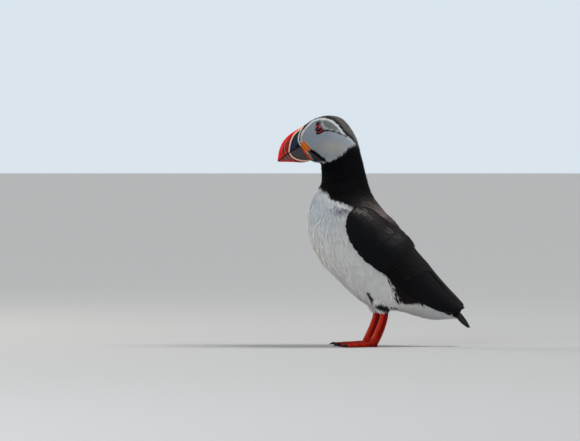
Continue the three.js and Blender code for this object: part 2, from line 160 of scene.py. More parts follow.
def inside(outline: Sequence[Pair], points: Array) -> Array:
    """Tells which side-view points lie inside a closed outline.

    Args:
        outline: the outline's corners.
        points: an array of (y, z) points.

    Returns:
        True for each point inside.
    """
    corners = np.asarray(outline, float)
    found = np.zeros(len(points), bool)
    y, z = points[:, 0], points[:, 1]
    for (y0, z0), (y1, z1) in zip(corners, np.roll(corners, -1, axis=0)):
        if z0 != z1:
            crosses = (z0 > z) != (z1 > z)
            found ^= crosses & (y < y0 + (z - z0) * (y1 - y0) / (z1 - z0))
    return found


def distance(line: Sequence[Pair], points: Array) -> Array:
    """How far side-view points are from an open polyline.

    Args:
        line: the polyline's corners.
        points: an array of (y, z) points.

    Returns:
        One distance for each point.
    """
    best = np.full(len(points), 1e9)
    corners = np.asarray(line, float)
    for start, stop in zip(corners[:-1], corners[1:]):
        along = stop - start
        t = np.clip((points - start) @ along / (along @ along), 0, 1)
        best = np.minimum(best, np.linalg.norm(points - start - t[:, None] * along, axis=1))
    return best


def signed(outline: Sequence[Pair], points: Array) -> Array:
    """Distance to a closed outline, positive inside it."""
    closed = list(outline) + [outline[0]]
    return np.where(inside(outline, points), 1.0, -1.0) * distance(closed, points)


def unit(vectors: Array) -> Array:
    """Vectors made one long."""
    return vectors / np.maximum(np.linalg.norm(vectors, axis=-1, keepdims=True), 1e-12)


def ripple(points: Array, size: float, seed: int) -> Array:
    """Gentle repeatable noise from -1 to 1, as a sum of a few waves.

    Args:
        points: an array of points.
        size: about how far apart its hills are.
        seed: which pattern.

    Returns:
        One value for each point.
    """
    rng = np.random.default_rng(seed)
    total = np.zeros(len(points))
    waves = 6
    for _ in range(waves):
        way = unit(rng.normal(size=points.shape[1]))
        total += np.sin(points @ way * (math.tau / size * rng.uniform(0.6, 1.5)) + rng.uniform(0, 7))
    return total / waves ** 0.5 / 1.5


# Meshes


def grid_faces(rows: int, columns: int, closed: bool = False, start: int = 0) -> Array:
    """Quads over a grid of points that is stored row by row.

    Args:
        rows: how many rows of points.
        columns: how many points in a row.
        closed: whether each row joins up end to end.
        start: the number of the grid's first point.

    Returns:
        An array of four point numbers to a quad.
    """
    across = np.arange(columns if closed else columns - 1)
    down = np.arange(rows - 1)[:, None]
    beside = (across + 1) % columns
    corners = [down * columns + across, down * columns + beside,
               (down + 1) * columns + beside, (down + 1) * columns + across]
    return start + np.stack([np.broadcast_to(c, (rows - 1, len(across))) for c in corners], -1).reshape(-1, 4)


@dataclass
class Shape:
    """Points in millimetres, faces, and values held at the points."""

    points: Array
    faces: list
    values: dict[str, Array] = field(default_factory=dict)

    @classmethod
    def loft(cls, rings: Array) -> "Shape":
        """A closed form through rings of points, closed by a fan at each end.

        Args:
            rings: an array of rings by points by XYZ.

        Returns:
            The form, its faces outwards if the rings run anticlockwise seen from the far end.
        """
        count, sides = rings.shape[:2]
        points = np.vstack([rings.reshape(-1, 3), rings[0].mean(0), rings[-1].mean(0)])
        faces = grid_faces(count, sides, closed=True).tolist()
        first, last, base = count * sides, count * sides + 1, (count - 1) * sides
        for i in range(sides):
            j = (i + 1) % sides
            faces.append((first, j, i))
            faces.append((last, base + i, base + j))
        return cls(points, faces).outwards()

    def outwards(self) -> "Shape":
        """The shape with its faces turned outwards, whichever way they ran.

        Returns:
            The shape itself.
        """
        corners = np.array([f[:3] for f in self.faces] + [(f[0], *f[2:]) for f in self.faces if len(f) == 4])
        a, b, c = (self.points[corners[:, k]] for k in range(3))
        if np.einsum("ij,ij->", a, np.cross(b, c)) < 0:
            self.faces = [tuple(reversed(f)) for f in self.faces]
        return self

    @classmethod
    def together(cls, shapes: Sequence["Shape"]) -> "Shape":
        """Several shapes as one, keeping the values that they all have.

        Args:
            shapes: the shapes.

        Returns:
            The joint shape.
        """
        start, faces = 0, []
        for shape in shapes:
            faces += [tuple(i + start for i in face) for face in shape.faces]
            start += len(shape.points)
        names = set.intersection(*(set(s.values) for s in shapes))
        values = {n: np.concatenate([s.values[n] for s in shapes]) for n in sorted(names)}
        return cls(np.vstack([s.points for s in shapes]), faces, values)

    def tinted(self, tones: Array) -> "Shape":
        """The shape, given a colour at each point as RGB rows."""
        self.values["tint"] = opaque(tones)
        return self

    def on(self, side: Side) -> "Shape":
        """The shape, made for the left, on a side."""
        flipped = Shape(self.points * (-1, 1, 1), [tuple(reversed(f)) for f in self.faces], dict(self.values))
        return self if side is Side.LEFT else flipped

    def mesh(self, name: str, scale: float = MM) -> Mesh:
        """The shape as a Blender mesh, its faces turned outwards as given.

        Args:
            name: the mesh's name.
            scale: how long one of the shape's units is, in metres.

        Returns:
            The mesh, with each value as an attribute of its own.
        """
        mesh = bpy.data.meshes.new(name)
        mesh.from_pydata((self.points * scale).tolist(), [], self.faces)
        for key, data in self.values.items():
            write_value(mesh, key, data)
        mesh.shade_smooth()
        mesh.set_sharp_from_angle(angle=EDGE_ANGLE)
        mesh.update()
        return mesh

    def tree(self) -> BVHTree:
        """A search tree over the shape, in millimetres."""
        return BVHTree.FromPolygons(self.points.tolist(), self.faces)


def write_value(mesh: Mesh, name: str, data: Array) -> None:
    """Stores one value for each point: a number, a vector of three or a colour of four.

    Args:
        mesh: the mesh.
        name: the attribute's name.
        data: the values, one row to a point. Two columns make the bake's UV map.
    """
    data = np.asarray(data, float)
    if data.ndim == 2 and data.shape[1] == 2:
        corners = np.empty(len(mesh.loops), int)
        mesh.loops.foreach_get("vertex_index", corners)
        mesh.uv_layers.new(name=name).uv.foreach_set("vector", data[corners].ravel())
        return
    kinds = {1: ("FLOAT", "value"), 3: ("FLOAT_VECTOR", "vector"), 4: ("FLOAT_COLOR", "color")}
    kind, slot = kinds[1 if data.ndim == 1 else data.shape[1]]
    mesh.attributes.new(name, kind, "POINT").data.foreach_set(slot, data.ravel())


def piece(name: str, shape: Shape | Mesh, material: Material) -> Object:
    """Makes a Blender object of a shape and dresses it.

    Args:
        name: the piece's name.
        shape: its shape, or a mesh that is already in metres.
        material: its finish.

    Returns:
        The object, at the origin.
    """
    mesh = shape.mesh(name) if isinstance(shape, Shape) else shape
    mesh.materials.clear()
    mesh.materials.append(material)
    return placed(name, mesh)


def placed(name: str, mesh: Mesh) -> Object:
    """Puts a mesh into the scene, at the origin.

    Args:
        name: the object's name.
        mesh: the mesh.

    Returns:
        The object.
    """
    obj = bpy.data.objects.new(name, mesh)
    bpy.context.scene.collection.objects.link(obj)
    return obj


def keep(obj: Object, slot: str, *nodes: str) -> Object:
    """Fixes a finished piece to the bird.

    Args:
        obj: the piece.
        slot: a material slot's name; not used.
        nodes: the CAD nodes that it stands for.

    Returns:
        The piece.
    """
    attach(obj, BODY)
    if nodes:
        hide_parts(*nodes)
    LOG.info("%s: %d faces", obj.name, len(obj.data.polygons))
    return obj


def keep_on(side: Side, name: str, shape: Shape, finish: Material, slot: str, node: str = "") -> None:
    """Makes one side's piece of a pair and fixes it to the bird.

    Args:
        side: the side.
        name: the piece's name, without the side.
        shape: the left one's shape.
        finish: its finish.
        slot: a material slot's name.
        node: the CAD node that it stands for, without the side.
    """
    nodes = [f"{node}_{side.word}"] if node else []
    keep(piece(f"{name}_{side.word}", shape.on(side), finish), slot, *nodes)


def settled(obj: Object, name: str) -> Mesh:
    """The object's mesh with its modifiers carried out. The object goes.

    Args:
        obj: an object with live modifiers.
        name: the new mesh's name.

    Returns:
        A plain mesh.
    """
    bpy.context.view_layer.update()
    graph = bpy.context.evaluated_depsgraph_get()
    mesh = bpy.data.meshes.new_from_object(
        obj.evaluated_get(graph), preserve_all_data_layers=True, depsgraph=graph)
    mesh.name = name
    bpy.data.objects.remove(obj)
    return mesh


def fused(shape: Shape, name: str, cell: float, rounds: int) -> Mesh:
    """One skin round overlapping closed forms.

    Args:
        shape: the forms.
        name: the mesh's name.
        cell: the size of the voxels.
        rounds: how often the result is smoothed.

    Returns:
        The fused mesh.
    """
    obj = placed(name, shape.mesh(name))
    remesh = obj.modifiers.new("fuse", "REMESH")
    remesh.mode = "VOXEL"
    remesh.voxel_size = cell * MM
    remesh.use_smooth_shade = True
    ease = obj.modifiers.new("ease", "SMOOTH")
    ease.factor = 0.5
    ease.iterations = rounds
    return settled(obj, name)


def read_vectors(items: bpy.types.bpy_prop_collection, name: str) -> Array:
    """The places or normals of a mesh's points.

    Args:
        items: the mesh's collection.
        name: the property that holds the vector.

    Returns:
        One row for each.
    """
    flat = np.empty(len(items) * 3)
    items.foreach_get(name, flat)
    return flat.reshape(-1, 3)


# The body's form


@dataclass(frozen=True)
class Slice:
    """One slice through the body, and how deep the coat lies on it."""

    at: str
    back: Pair
    front: Pair
    half: float
    low: float
    bow: float
    coat: float


SLICES = (
    Slice("bill base", (-72, 229.5), (-66, 193), 7.4, 0.1, 8, 0.3),
    Slice("lores", (-67, 233.5), (-63.5, 191.8), 13.6, 0.16, 7, 0.7),
    Slice("forehead", (-60, 237.2), (-61, 191), 17.2, 0.2, 5.5, 1.0),
    Slice("crown", (-47, 240), (-57.5, 190.2), 20.8, 0.22, 2.5, 1.2),
    Slice("hind crown", (-33, 236.6), (-56, 188.8), 22.2, 0.18, 0, 1.3),
    Slice("nape", (-19.5, 219.5), (-55.3, 186), 21.4, 0.08, 0, 1.5),
    Slice("upper neck", (-12.4, 196), (-54.6, 179), 21.2, 0, 0, 1.7),
    Slice("neck", (-8, 178), (-55, 171), 22.8, 0, 0, 1.9),
    Slice("collar", (-2.5, 160.5), (-58.6, 163.6), 27.5, 0.02, 0, 2.1),
    Slice("shoulders", (8.5, 144), (-63.8, 153), 34.6, 0.04, 0, 2.3),
    Slice("upper breast", (22, 129.5), (-67.6, 138), 39.4, 0.06, 0, 2.4),
    Slice("breast", (34.5, 111.5), (-67, 116), 41.6, 0.04, 0, 2.5),
    Slice("belly", (44, 91.5), (-58.4, 93.4), 41, 0, 0, 2.5),
    Slice("lower belly", (51, 74.5), (-38.5, 70), 37, -0.02, 0, 2.5),
    Slice("vent", (61, 56), (-8, 44.2), 29.6, -0.04, 0, 2.3),
    Slice("rump", (71, 44.5), (27, 36), 20.5, -0.06, 0, 2.1),
    Slice("undertail", (80, 36.5), (57, 28.6), 12, -0.1, 0, 1.8),
    Slice("tail base", (86.5, 31), (80.5, 28.6), 6, 0, 0, 1.3),
)


@dataclass(frozen=True)
class HeadRelief:
    """The folds of the head: eye socket, cheek, brow, and the creases before and behind the eye."""

    eye: Pair = (-57.6, 225.4)
    cheek: Pair = (-42.0, 208.0)
    eyeline: Line = ((-53.6, 223.4), (-47.6, 223.9), (-41.3, 222.7), (-35.1, 221.1), (-31.4, 219.6))
    flap: Line = ((-57.6, 233.6), (-56.2, 229.8), (-54.4, 226.6), (-52.6, 223.8))
    rim: Line = (
        (-70.5, 228.3), (-65.3, 233.5), (-58, 236.1), (-50.7, 236.1), (-44.5, 234), (-39.3, 229.8),
        (-34.1, 223.6), (-26.8, 217.4))

    def height(self, points: Array) -> Array:
        """How far the head stands out or in at side-view points.

        Args:
            points: an array of (y, z) points.

        Returns:
            Millimetres outwards.
        """
        from_eye = np.linalg.norm(points - self.eye, axis=1)
        from_cheek = np.linalg.norm((points - self.cheek) / (1.5, 1.0), axis=1)
        line = distance(self.eyeline, points)
        below = smooth(0.0, 3.0, 223.0 - points[:, 1]) * hill(line, 5.0)
        below = smooth(0.0, 3.0, 223.0 - points[:, 1]) * hill(line, 5.0)
        return (0.9 * hill(from_cheek, 8.0) - 1.2 * hill(from_eye, 3.0) + 0.5 * hill(from_eye - 5.5, 2.0)
                - 1.0 * hill(line, 0.8) + 0.5 * below - 0.6 * hill(distance(self.flap, points), 0.8)
                + 0.35 * hill(distance(self.rim, points) - 1.2, 1.2))


@dataclass(frozen=True)
class BodyForm:
    """The body from the bill's base to the tail's, as a surface over (share along, angle round)."""

    relief: HeadRelief = HeadRelief()
    rings: int = 250
    sides: int = 150

    def bare(self, share: Array, angle: Array) -> Array:
        """Points of the coat's outer face before the head's folds.

        Args:
            share: how far along the slices, from 0 to 1.
            angle: round the slice from the back over the left side, in radians.

        Returns:
            The points.
        """
        back = through([s.back for s in SLICES], share)
        front = through([s.front for s in SLICES], share)
        half, low, bow = np.moveaxis(through([(s.half, s.low, s.bow) for s in SLICES], share), -1, 0)
        span = back - front
        reach = np.linalg.norm(span, axis=-1) / 2
        up = unit(span)
        height = np.cos(angle) - low * np.sin(angle) ** 2
        forward = bow * (1 - height ** 2)
        y = (back + front)[..., 0] / 2 + up[..., 0] * reach * height - up[..., 1] * forward
        z = (back + front)[..., 1] / 2 + up[..., 1] * reach * height + up[..., 0] * forward
        return np.stack([half * np.sin(angle), y, z], -1)

    def axes(self, share: Array, angle: Array) -> tuple[Array, Array]:
        """The way the coat lies, and the way out of the body.

        Args:
            share: shares along the body.
            angle: angles round it.

        Returns:
            Two arrays of unit vectors.
        """
        step = 1e-3
        along = self.bare(share + step, angle) - self.bare(share - step, angle)
        round_ = self.bare(share, angle + step) - self.bare(share, angle - step)
        return unit(along), unit(np.cross(round_, along))

    def coat_depth(self, share: Array) -> Array:
        """How deep the coat is at a share along the body."""
        return np.interp(share, np.linspace(0, 1, len(SLICES)), [s.coat for s in SLICES])

    def sample(self, share: Array, angle: Array) -> Shape:
        """Points on the skin with the coat's lie, without faces.

        Args:
            share: flat array of shares along the body.
            angle: flat array of angles, of the same length.

        Returns:
            A shape with the values that a coat is planted by.
        """
        inner = np.clip(share, 2e-3, 1 - 2e-3)
        lie, out = self.axes(inner, angle)
        points = self.bare(share, angle)
        side_on = smooth(0.25, 0.7, np.abs(out[:, 0])) * smooth(0.36, 0.26, share)
        rise = self.relief.height(points[:, 1:]) * side_on
        points = points + out * (rise - self.coat_depth(share))[:, None]
        return Shape(points, [], {"lie": lie, "outward": out})

    def skin(self) -> Shape:
        """The skin as a closed surface.

        Returns:
            The surface, without values.
        """
        share = np.repeat(np.linspace(0, 1, self.rings), self.sides)
        angle = np.tile(turns(self.sides), self.rings)
        return Shape.loft(self.sample(share, angle).points.reshape(self.rings, self.sides, 3))


# Markings


@dataclass(frozen=True)
class Markings:
    """The colours of skin and coat, one rule for both, from a point's place in side view."""

    face: Line = (
        (-74.0, 207.0), (-76.5, 212.2), (-77.5, 217.4), (-75.1, 222.8), (-70.5, 228.3), (-65.3, 233.5),
        (-58, 236.1), (-50.7, 236.1), (-44.5, 234), (-39.3, 229.8), (-34.1, 223.6), (-26.8, 217.4),
        (-22.6, 214.2), (-18.5, 213.2), (-19.5, 211.6), (-24.7, 210.2), (-29.9, 205.6), (-35.1, 200.6),
        (-40.3, 197), (-47.6, 194), (-53.8, 192.2), (-58, 191.6), (-63, 192), (-68, 196), (-71, 202))
    chin: Line = (
        (-74, 204), (-67.5, 205.6), (-62.0, 202.6), (-56.5, 198.6), (-50.5, 194.6), (-47.0, 192.8),
        (-52.5, 193.6), (-58.0, 193.0), (-62.0, 192.4), (-66, 191), (-74, 196))
    chin_stripe: Line = ((-67.0, 205.0), (-60.5, 200.6), (-54.5, 196.0), (-48.5, 193.0))
    gape_line: Line = ((-71.2, 203.6), (-68.0, 199.4), (-64.6, 195.0), (-63.8, 193.4))
    gape_skin: Line = ((-76, 208), (-71.6, 203.8), (-65.0, 194.0), (-66, 188), (-80, 188))
    white_edge: Line = (
        (-80, 171), (-56.9, 169.0), (-53.8, 167.0), (-46.5, 162.0), (-41.3, 157.0), (-33, 154.4),
        (-26.7, 151.0), (-21.6, 147.6), (-18, 125), (-6, 101), (7, 82), (14, 70), (17, 57), (22, 50.5),
        (30, 51), (38, 51.5), (48, 46.5), (60, 41.5), (74, 36), (88, 31.8), (104, 18), (104, -20),
        (-120, -20), (-120, 171))
    eyeline: Line = HeadRelief.eyeline
    flap: Line = HeadRelief.flap
    lid_patch: Line = (
        (-56.4, 233.6), (-55.0, 229.8), (-52.9, 226.6), (-49.6, 225.0), (-41.5, 223.9), (-36.0, 222.6),
        (-39.3, 227.4), (-44.5, 231.0), (-50.7, 233.2))
    thigh_marks: tuple[tuple[float, Line], ...] = (
        (2.0, ((-12.5, 63.5), (-9.0, 56.0), (-5.5, 48.5))), (4.0, ((3.0, 45.5), (8.5, 43.5), (12.5, 42.0))))
    # crown is a painted highlight: the top of the head made lighter where light falls on it.
    crown: Colour = (0.155, 0.145, 0.145)
    lit_mantle: Colour = (0.140, 0.115, 0.110)
    dusky: Colour = (0.012, 0.012, 0.014)
    black: Colour = (0.0027, 0.0027, 0.0036)
    mantle: Colour = (0.014, 0.0115, 0.0105)
    white: Colour = (0.80, 0.795, 0.775)
    shaded: Colour = (0.60, 0.68, 0.76)
    smudged: Colour = (0.10, 0.12, 0.16)
    grey: Colour = (0.38, 0.435, 0.50)
    cheek: Colour = (0.52, 0.495, 0.47)
    # Painted shade: the darker grey laid on the patch over the eyeline behind the eye.
    lid: Colour = (0.235, 0.240, 0.255)
    # rim: the face's pale rim, brighter along the top as painted highlight, and the painted highlights along
    # the patch over the eyeline and behind the gape.
    rim: Colour = (0.93, 0.93, 0.93)
    chin_grey: Colour = (0.080, 0.074, 0.074)
    gape_red: Colour = (0.36, 0.028, 0.008)
    rear_white: Colour = (0.66, 0.665, 0.67)
    ragged: float = 0.45

    def colour(self, points: Array) -> Array:
        """The plumage's colour at points.

        Args:
            points: an array of XYZ points.

        Returns:
            One linear RGBA row to a point.
        """
        flat = points[:, 1:] + self.ragged * np.stack([ripple(points, 2.6, 5), ripple(points, 2.6, 6)], -1)
        nape = smooth(9.5, 5.5, np.abs(points[:, 0])) * smooth(-36, -28, flat[:, 0])
        edge = signed(self.face, flat) - 12 * nape
        tone = blend(self.trunk(points, flat, edge), self.head(flat, edge), smooth(-0.2, 0.4, edge))
        return opaque(blend(tone, self.gape_red, smooth(-0.3, 0.3, signed(self.gape_skin, points[:, 1:]))))

    def trunk(self, points: Array, flat: Array, edge: Array) -> Array:
        """The colours outside the face: black above, white below, and the dark marks on the thigh.

        Args:
            points: an array of XYZ points.
            flat: the same in side view, a little ragged.
            edge: how far inside the face they are.

        Returns:
            RGB rows.
        """
        y, z = flat[:, 0], flat[:, 1]
        # Over the black: the mantle's own brownish tone, a painted highlight on the mantle and a painted
        # highlight on the top of the head.
        dark = layered(self.black, (self.mantle, smooth(165, 140, z) * smooth(-30, 5, y)),
                       (self.lit_mantle, spot(flat, (2, 143), (20, 12))),
                       (self.crown, smooth(205, 222, z) * smooth(-1.0, -4.0, edge)))
        white = blend(self.white, self.rear_white, smooth(20, 60, y) * smooth(60, 40, z))
        streaks = 4.0 * ripple((0.86 * y + 0.5 * z)[:, None], 3.6, 12) * spot(flat, (24, 60), (14, 15))
        tone = blend(dark, white, smooth(-0.3, 0.5, signed(self.white_edge, flat) + streaks))
        light = tone[:, 0] > 0.3
        tone = blend(tone, self.shaded, 0.6 * smooth(-20, -60, y) * smooth(110, 150, z) * light)
        smudge = spot(flat, (-34.0, 146.5), (8.0, 4.0)) * (0.75 + 0.4 * ripple(flat, 2.5, 14)) * light
        tone = blend(tone, self.smudged, np.clip(smudge, 0, 0.9))
        outer = smooth(14, 17, np.abs(points[:, 0]))
        for half, line in self.thigh_marks:
            mark = smooth(1.3 * half, 0.4 * half, distance(line, flat)) + 0.3 * ripple(points, 2.0, 9)
            tone = blend(tone, self.dusky, outer * smooth(0.40, 0.60, mark))
        return tone

    def head(self, flat: Array, edge: Array) -> Array:
        """The colours inside the face: grey cheek, painted shade on the patch over the eyeline, dark chin,
        pale rim brighter along the top as painted highlight, painted highlights along that patch's edge and
        behind the gape, and the two black lines.

        Args:
            flat: side-view points.
            edge: how far inside the face they are.

        Returns:
            RGB rows.
        """
        chin = blend(self.chin_grey, self.black, smooth(3.2, 1.2, distance(self.chin_stripe, flat)))
        reach = np.interp(flat[:, 0], (-54, -34), (1.5, 0.9))
        return layered(
            self.grey,
            (self.cheek, spot(flat, (-45.5, 206.5), (16.0, 8.5))),
            # Painted shade: the patch over the eyeline behind the eye is darkened.
            (self.lid, smooth(-0.6, 0.4, signed(self.lid_patch, flat))),
            # Painted highlights: a pale line along the patch's edge, and the face's pale rim made brighter
            # along the top.
            (self.rim, 0.7 * hill(distance(self.lid_patch[:6], flat), 0.8)),
            (self.rim, smooth(2.6, 1.2, edge) * (0.25 + 0.75 * smooth(214, 222, flat[:, 1]))),
            (chin, smooth(-0.5, 0.5, signed(self.chin, flat))),
            # Painted highlight: the white line behind the gape.
            (self.rim, 0.8 * smooth(0.6, 0.3, distance(self.gape_line, flat))),
            (self.black, 0.97 * smooth(1.0, 0.5, distance(self.eyeline, flat) / reach)),
            (self.black, 0.9 * smooth(0.95, 0.45, distance(self.flap, flat))))


# Finishes


class NodeTree:
    """A node tree, with short ways to add to it."""

    def __init__(self, tree: bpy.types.NodeTree) -> None:
        """Works on a tree that is there already."""
        self.tree = tree

    def add(self, kind: str, **facts: object) -> Node:
        """Adds a node, sets its properties and feeds its inputs.

        Args:
            kind: the node's type.
            facts: properties by name, and then inputs by name with _ for a space, or by number after a _.

        Returns:
            The node.
        """
        node = self.tree.nodes.new(kind)
        for key, value in facts.items():
            if hasattr(node, key):
                setattr(node, key, value)
                continue
            self.feed(node.inputs[int(key[1:]) if key[1:].isdigit() else key.replace("_", " ")], value)
        return node

    def feed(self, socket: NodeSocket, value: object) -> None:
        """Links a socket from another one, or sets its value.

        Args:
            socket: the input.
            value: the value, or the socket to link from.
        """
        if isinstance(value, NodeSocket):
            self.tree.links.new(value, socket)
        else:
            socket.default_value = value

    def math(self, operation: str, *values: float | NodeSocket) -> NodeSocket:
        """The result of a sum on up to three values."""
        facts = {f"_{index}": value for index, value in enumerate(values)}
        return self.add("ShaderNodeMath", operation=operation, **facts).outputs[0]

    def scaled(self, vector: NodeSocket, factor: NodeSocket) -> NodeSocket:
        """A colour or another vector, times a factor."""
        return self.add("ShaderNodeVectorMath", operation="SCALE", _0=vector, Scale=factor).outputs["Vector"]


class Nodes(NodeTree):
    """A material's node tree."""

    def __init__(self, name: str) -> None:
        """Starts a material, with one shader that is wired to its output.

        Args:
            name: the material's name.
        """
        self.material = bpy.data.materials.new(name)
        self.material.use_nodes = True
        super().__init__(self.material.node_tree)
        self.shader = self.tree.nodes["Principled BSDF"]

    def read(self, name: str, output: str = "Fac") -> NodeSocket:
        """A value that is stored at the mesh's points."""
        return self.add("ShaderNodeAttribute", attribute_name=name).outputs[output]

    def noise(self, per_mm: float, detail: float = 3.0, stretch: tuple = (1, 1, 1)) -> NodeSocket:
        """Noise on Object coordinates.

        Args:
            per_mm: how many waves it has to a millimetre.
            detail: how many finer waves lie over them.
            stretch: how much denser it is along each axis.

        Returns:
            The noise, from 0 to 1.
        """
        place = self.add("ShaderNodeTexCoord").outputs["Object"]
        place = self.add("ShaderNodeMapping", Vector=place, Scale=stretch).outputs["Vector"]
        return self.add("ShaderNodeTexNoise", Vector=place, Scale=per_mm / MM, Detail=detail).outputs["Fac"]

    def cells(self, per_mm: float) -> NodeSocket:
        """How far a point is from the edge of its cell, with a number of cells to a millimetre."""
        facts = {"Vector": self.add("ShaderNodeTexCoord").outputs["Object"], "Scale": per_mm / MM}
        return self.add("ShaderNodeTexVoronoi", feature="DISTANCE_TO_EDGE", **facts).outputs["Distance"]

    def ramp(self, value: NodeSocket, low: float, high: float, start: float = 0.0,
             stop: float = 1.0) -> NodeSocket:
        """A value carried from one range to another and held at its ends."""
        return self.add("ShaderNodeMapRange", Value=value, From_Min=low, From_Max=high,
                        To_Min=start, To_Max=stop).outputs["Result"]

    def bump(self, height: NodeSocket, depth: float, strength: float = 1.0) -> None:
        """Roughens the shader, over what roughens it already.

        Args:
            height: the relief.
            depth: its depth in millimetres.
            strength: how strongly it shows.
        """
        before = self.shader.inputs["Normal"]
        node = self.add("ShaderNodeBump", Height=height, Distance=depth * MM, Strength=strength)
        if before.is_linked:
            self.feed(node.inputs["Normal"], before.links[0].from_socket)
        self.feed(before, node.outputs["Normal"])

    def finish(self, colour: NodeSocket | Colour, roughness: float | NodeSocket,
               **fixed: float | tuple) -> Material:
        """Sets the shader's colour, roughness and other fixed values.

        Args:
            colour: the base colour.
            roughness: the roughness.
            fixed: the shader's other inputs by name, with _ for a space.

        Returns:
            The material.
        """
        if isinstance(colour, tuple):
            colour = (*colour, 1.0)
        self.feed(self.shader.inputs["Base Color"], colour)
        self.feed(self.shader.inputs["Roughness"], roughness)
        for name, value in fixed.items():
            self.shader.inputs[name.replace("_", " ")].default_value = value
        return self.material


@dataclass(frozen=True)
class PlumageFinish:
    """Soft small feathers: their colour is stored at their points, with the root in shadow."""

    name: str = "plumage"
    roughness: float = 0.85
    root_shade: float = 0.93
    mottle: float = 0.045

    def material(self) -> Material:
        """The finish as a material.

        Returns:
            The material.
        """
        nodes = Nodes(self.name)
        patchy = nodes.ramp(nodes.noise(0.11), 0.3, 0.7, 1 - self.mottle, 1 + self.mottle)
        depth = nodes.ramp(nodes.read("along"), 0.1, 0.75, self.root_shade, 1.0)
        factor = nodes.math("MULTIPLY", nodes.math("MULTIPLY", patchy, depth), nodes.read("shade"))
        nodes.bump(nodes.noise(1.6, 2.0), 0.12, 0.6)
        return nodes.finish(nodes.scaled(nodes.read("plumage", "Color"), factor), self.roughness,
                            Subsurface_Weight=0.35, Subsurface_Radius=(1.0, 1.0, 1.0),
                            Subsurface_Scale=1.2 * MM, Specular_IOR_Level=0.06)


@dataclass(frozen=True)
class SkinFinish:
    """The skin under the coat, in the coat's own markings."""

    name: str = "skin_under_plumage"
    roughness: float = 0.9

    def material(self) -> Material:
        """The finish as a material.

        Returns:
            The material.
        """
        nodes = Nodes(self.name)
        factor = nodes.ramp(nodes.noise(0.5, 4.0), 0.3, 0.7, 0.7, 0.85)
        nodes.bump(nodes.noise(0.9, 4.0), 0.4, 0.8)
        return nodes.finish(nodes.scaled(nodes.read("plumage", "Color"), factor), self.roughness,
                            Specular_IOR_Level=0.15)


@dataclass(frozen=True)
class VaneFinish:
    """Flight and contour feathers: dark vanes with a shaft, fine barbs and slightly worn brown edges."""

    name: str
    vane: Colour = (0.0024, 0.0028, 0.0048)
    edge: Colour = (0.0085, 0.0080, 0.0086)
    roughness: float = 0.52
    barbs_per_mm: float = 2.2

    def material(self) -> Material:
        """The finish as a material.

        Returns:
            The material.
        """
        nodes = Nodes(self.name)
        far_out = nodes.math("ABSOLUTE", nodes.read("across"))
        worn = nodes.ramp(nodes.noise(0.25), 0.35, 0.65, 0.25, 1.0)
        rim = nodes.math("MULTIPLY", nodes.ramp(far_out, 0.62, 1.0), worn)
        tip = nodes.math("MULTIPLY", nodes.ramp(nodes.read("along"), 0.86, 1.0, 0.0, 0.8), worn)
        mixed = nodes.add("ShaderNodeMix", data_type="RGBA", _0=nodes.math("MAXIMUM", rim, tip),
                          _6=(*self.vane, 1), _7=(*self.edge, 1))
        slant = nodes.math("MULTIPLY_ADD", far_out, -4.0, nodes.read("along_mm"))
        place = nodes.add("ShaderNodeCombineXYZ", X=slant).outputs[0]
        barbs = nodes.add("ShaderNodeTexWave", Vector=place, Scale=self.barbs_per_mm / 3.2)
        nodes.bump(barbs.outputs["Fac"], 0.05, 0.5)
        colour = nodes.scaled(mixed.outputs[2], nodes.read("shade"))
        return nodes.finish(colour, self.roughness, Specular_IOR_Level=0.07)


@dataclass(frozen=True)
class HornFinish:
    """Horn whose colours are stored at its points: bill, plates and claws."""

    name: str
    roughness: float = 0.36
    coat: float = 0.04
    grain: float = 0.05

    def material(self) -> Material:
        """The finish as a material.

        Returns:
            The material.
        """
        nodes = Nodes(self.name)
        streaks = nodes.noise(0.9, 4.0, (1.0, 0.35, 1.0))
        factor = nodes.ramp(streaks, 0.25, 0.75, 0.86, 1.12)
        nodes.bump(nodes.noise(1.8, 3.0), self.grain, 0.5)
        rough = nodes.ramp(nodes.noise(0.6), 0.3, 0.7, self.roughness - 0.05, self.roughness + 0.12)
        return nodes.finish(nodes.scaled(nodes.read("tint", "Color"), factor), rough,
                            Coat_Weight=self.coat, Coat_Roughness=0.2, Specular_IOR_Level=0.08)


@dataclass(frozen=True)
class FleshFinish:
    """Bare skin whose colours are stored at its points: cere, rosettes, eye rings, legs and webs."""

    name: str
    roughness: float = 0.45
    scales_per_mm: float = 1.1
    relief: float = 0.12

    def material(self) -> Material:
        """The finish as a material.

        Returns:
            The material.
        """
        nodes = Nodes(self.name)
        cells = nodes.cells(self.scales_per_mm)
        seams = nodes.ramp(cells, 0.0, 0.12, 0.72, 1.0)
        patchy = nodes.ramp(nodes.noise(0.3, 4.0), 0.3, 0.7, 0.85, 1.12)
        nodes.bump(nodes.ramp(cells, 0.0, 0.25), self.relief, 0.7)
        nodes.bump(nodes.noise(2.5, 3.0), 0.04, 0.5)
        colour = nodes.scaled(nodes.read("tint", "Color"), nodes.math("MULTIPLY", seams, patchy))
        return nodes.finish(colour, self.roughness, Subsurface_Weight=0.1, Subsurface_Scale=0.5 * MM,
                            Specular_IOR_Level=0.07)


@dataclass(frozen=True)
class EyeFinish:
    """The wet eyeball, its iris and pupil stored at its points."""

    name: str = "eye_wet"

    def material(self) -> Material:
        """The finish as a material.

        Returns:
            The material.
        """
        nodes = Nodes(self.name)
        factor = nodes.ramp(nodes.noise(2.0, 4.0), 0.3, 0.7, 0.7, 1.3)
        return nodes.finish(nodes.scaled(nodes.read("tint", "Color"), factor), 0.12,
                            Coat_Weight=0.4, Coat_Roughness=0.02, Specular_IOR_Level=0.2)


@dataclass(frozen=True)
class FloorFinish:
    """A plain pale matt floor."""

    name: str = "studio_floor"
    colour: Colour = (0.44, 0.445, 0.45)

    def material(self) -> Material:
        """The finish as a material.

        Returns:
            The material.
        """
        nodes = Nodes(self.name)
        nodes.bump(nodes.noise(0.05, 3.0), 0.1, 0.15)
        return nodes.finish(self.colour, 0.8, Specular_IOR_Level=0.2)


# The coat


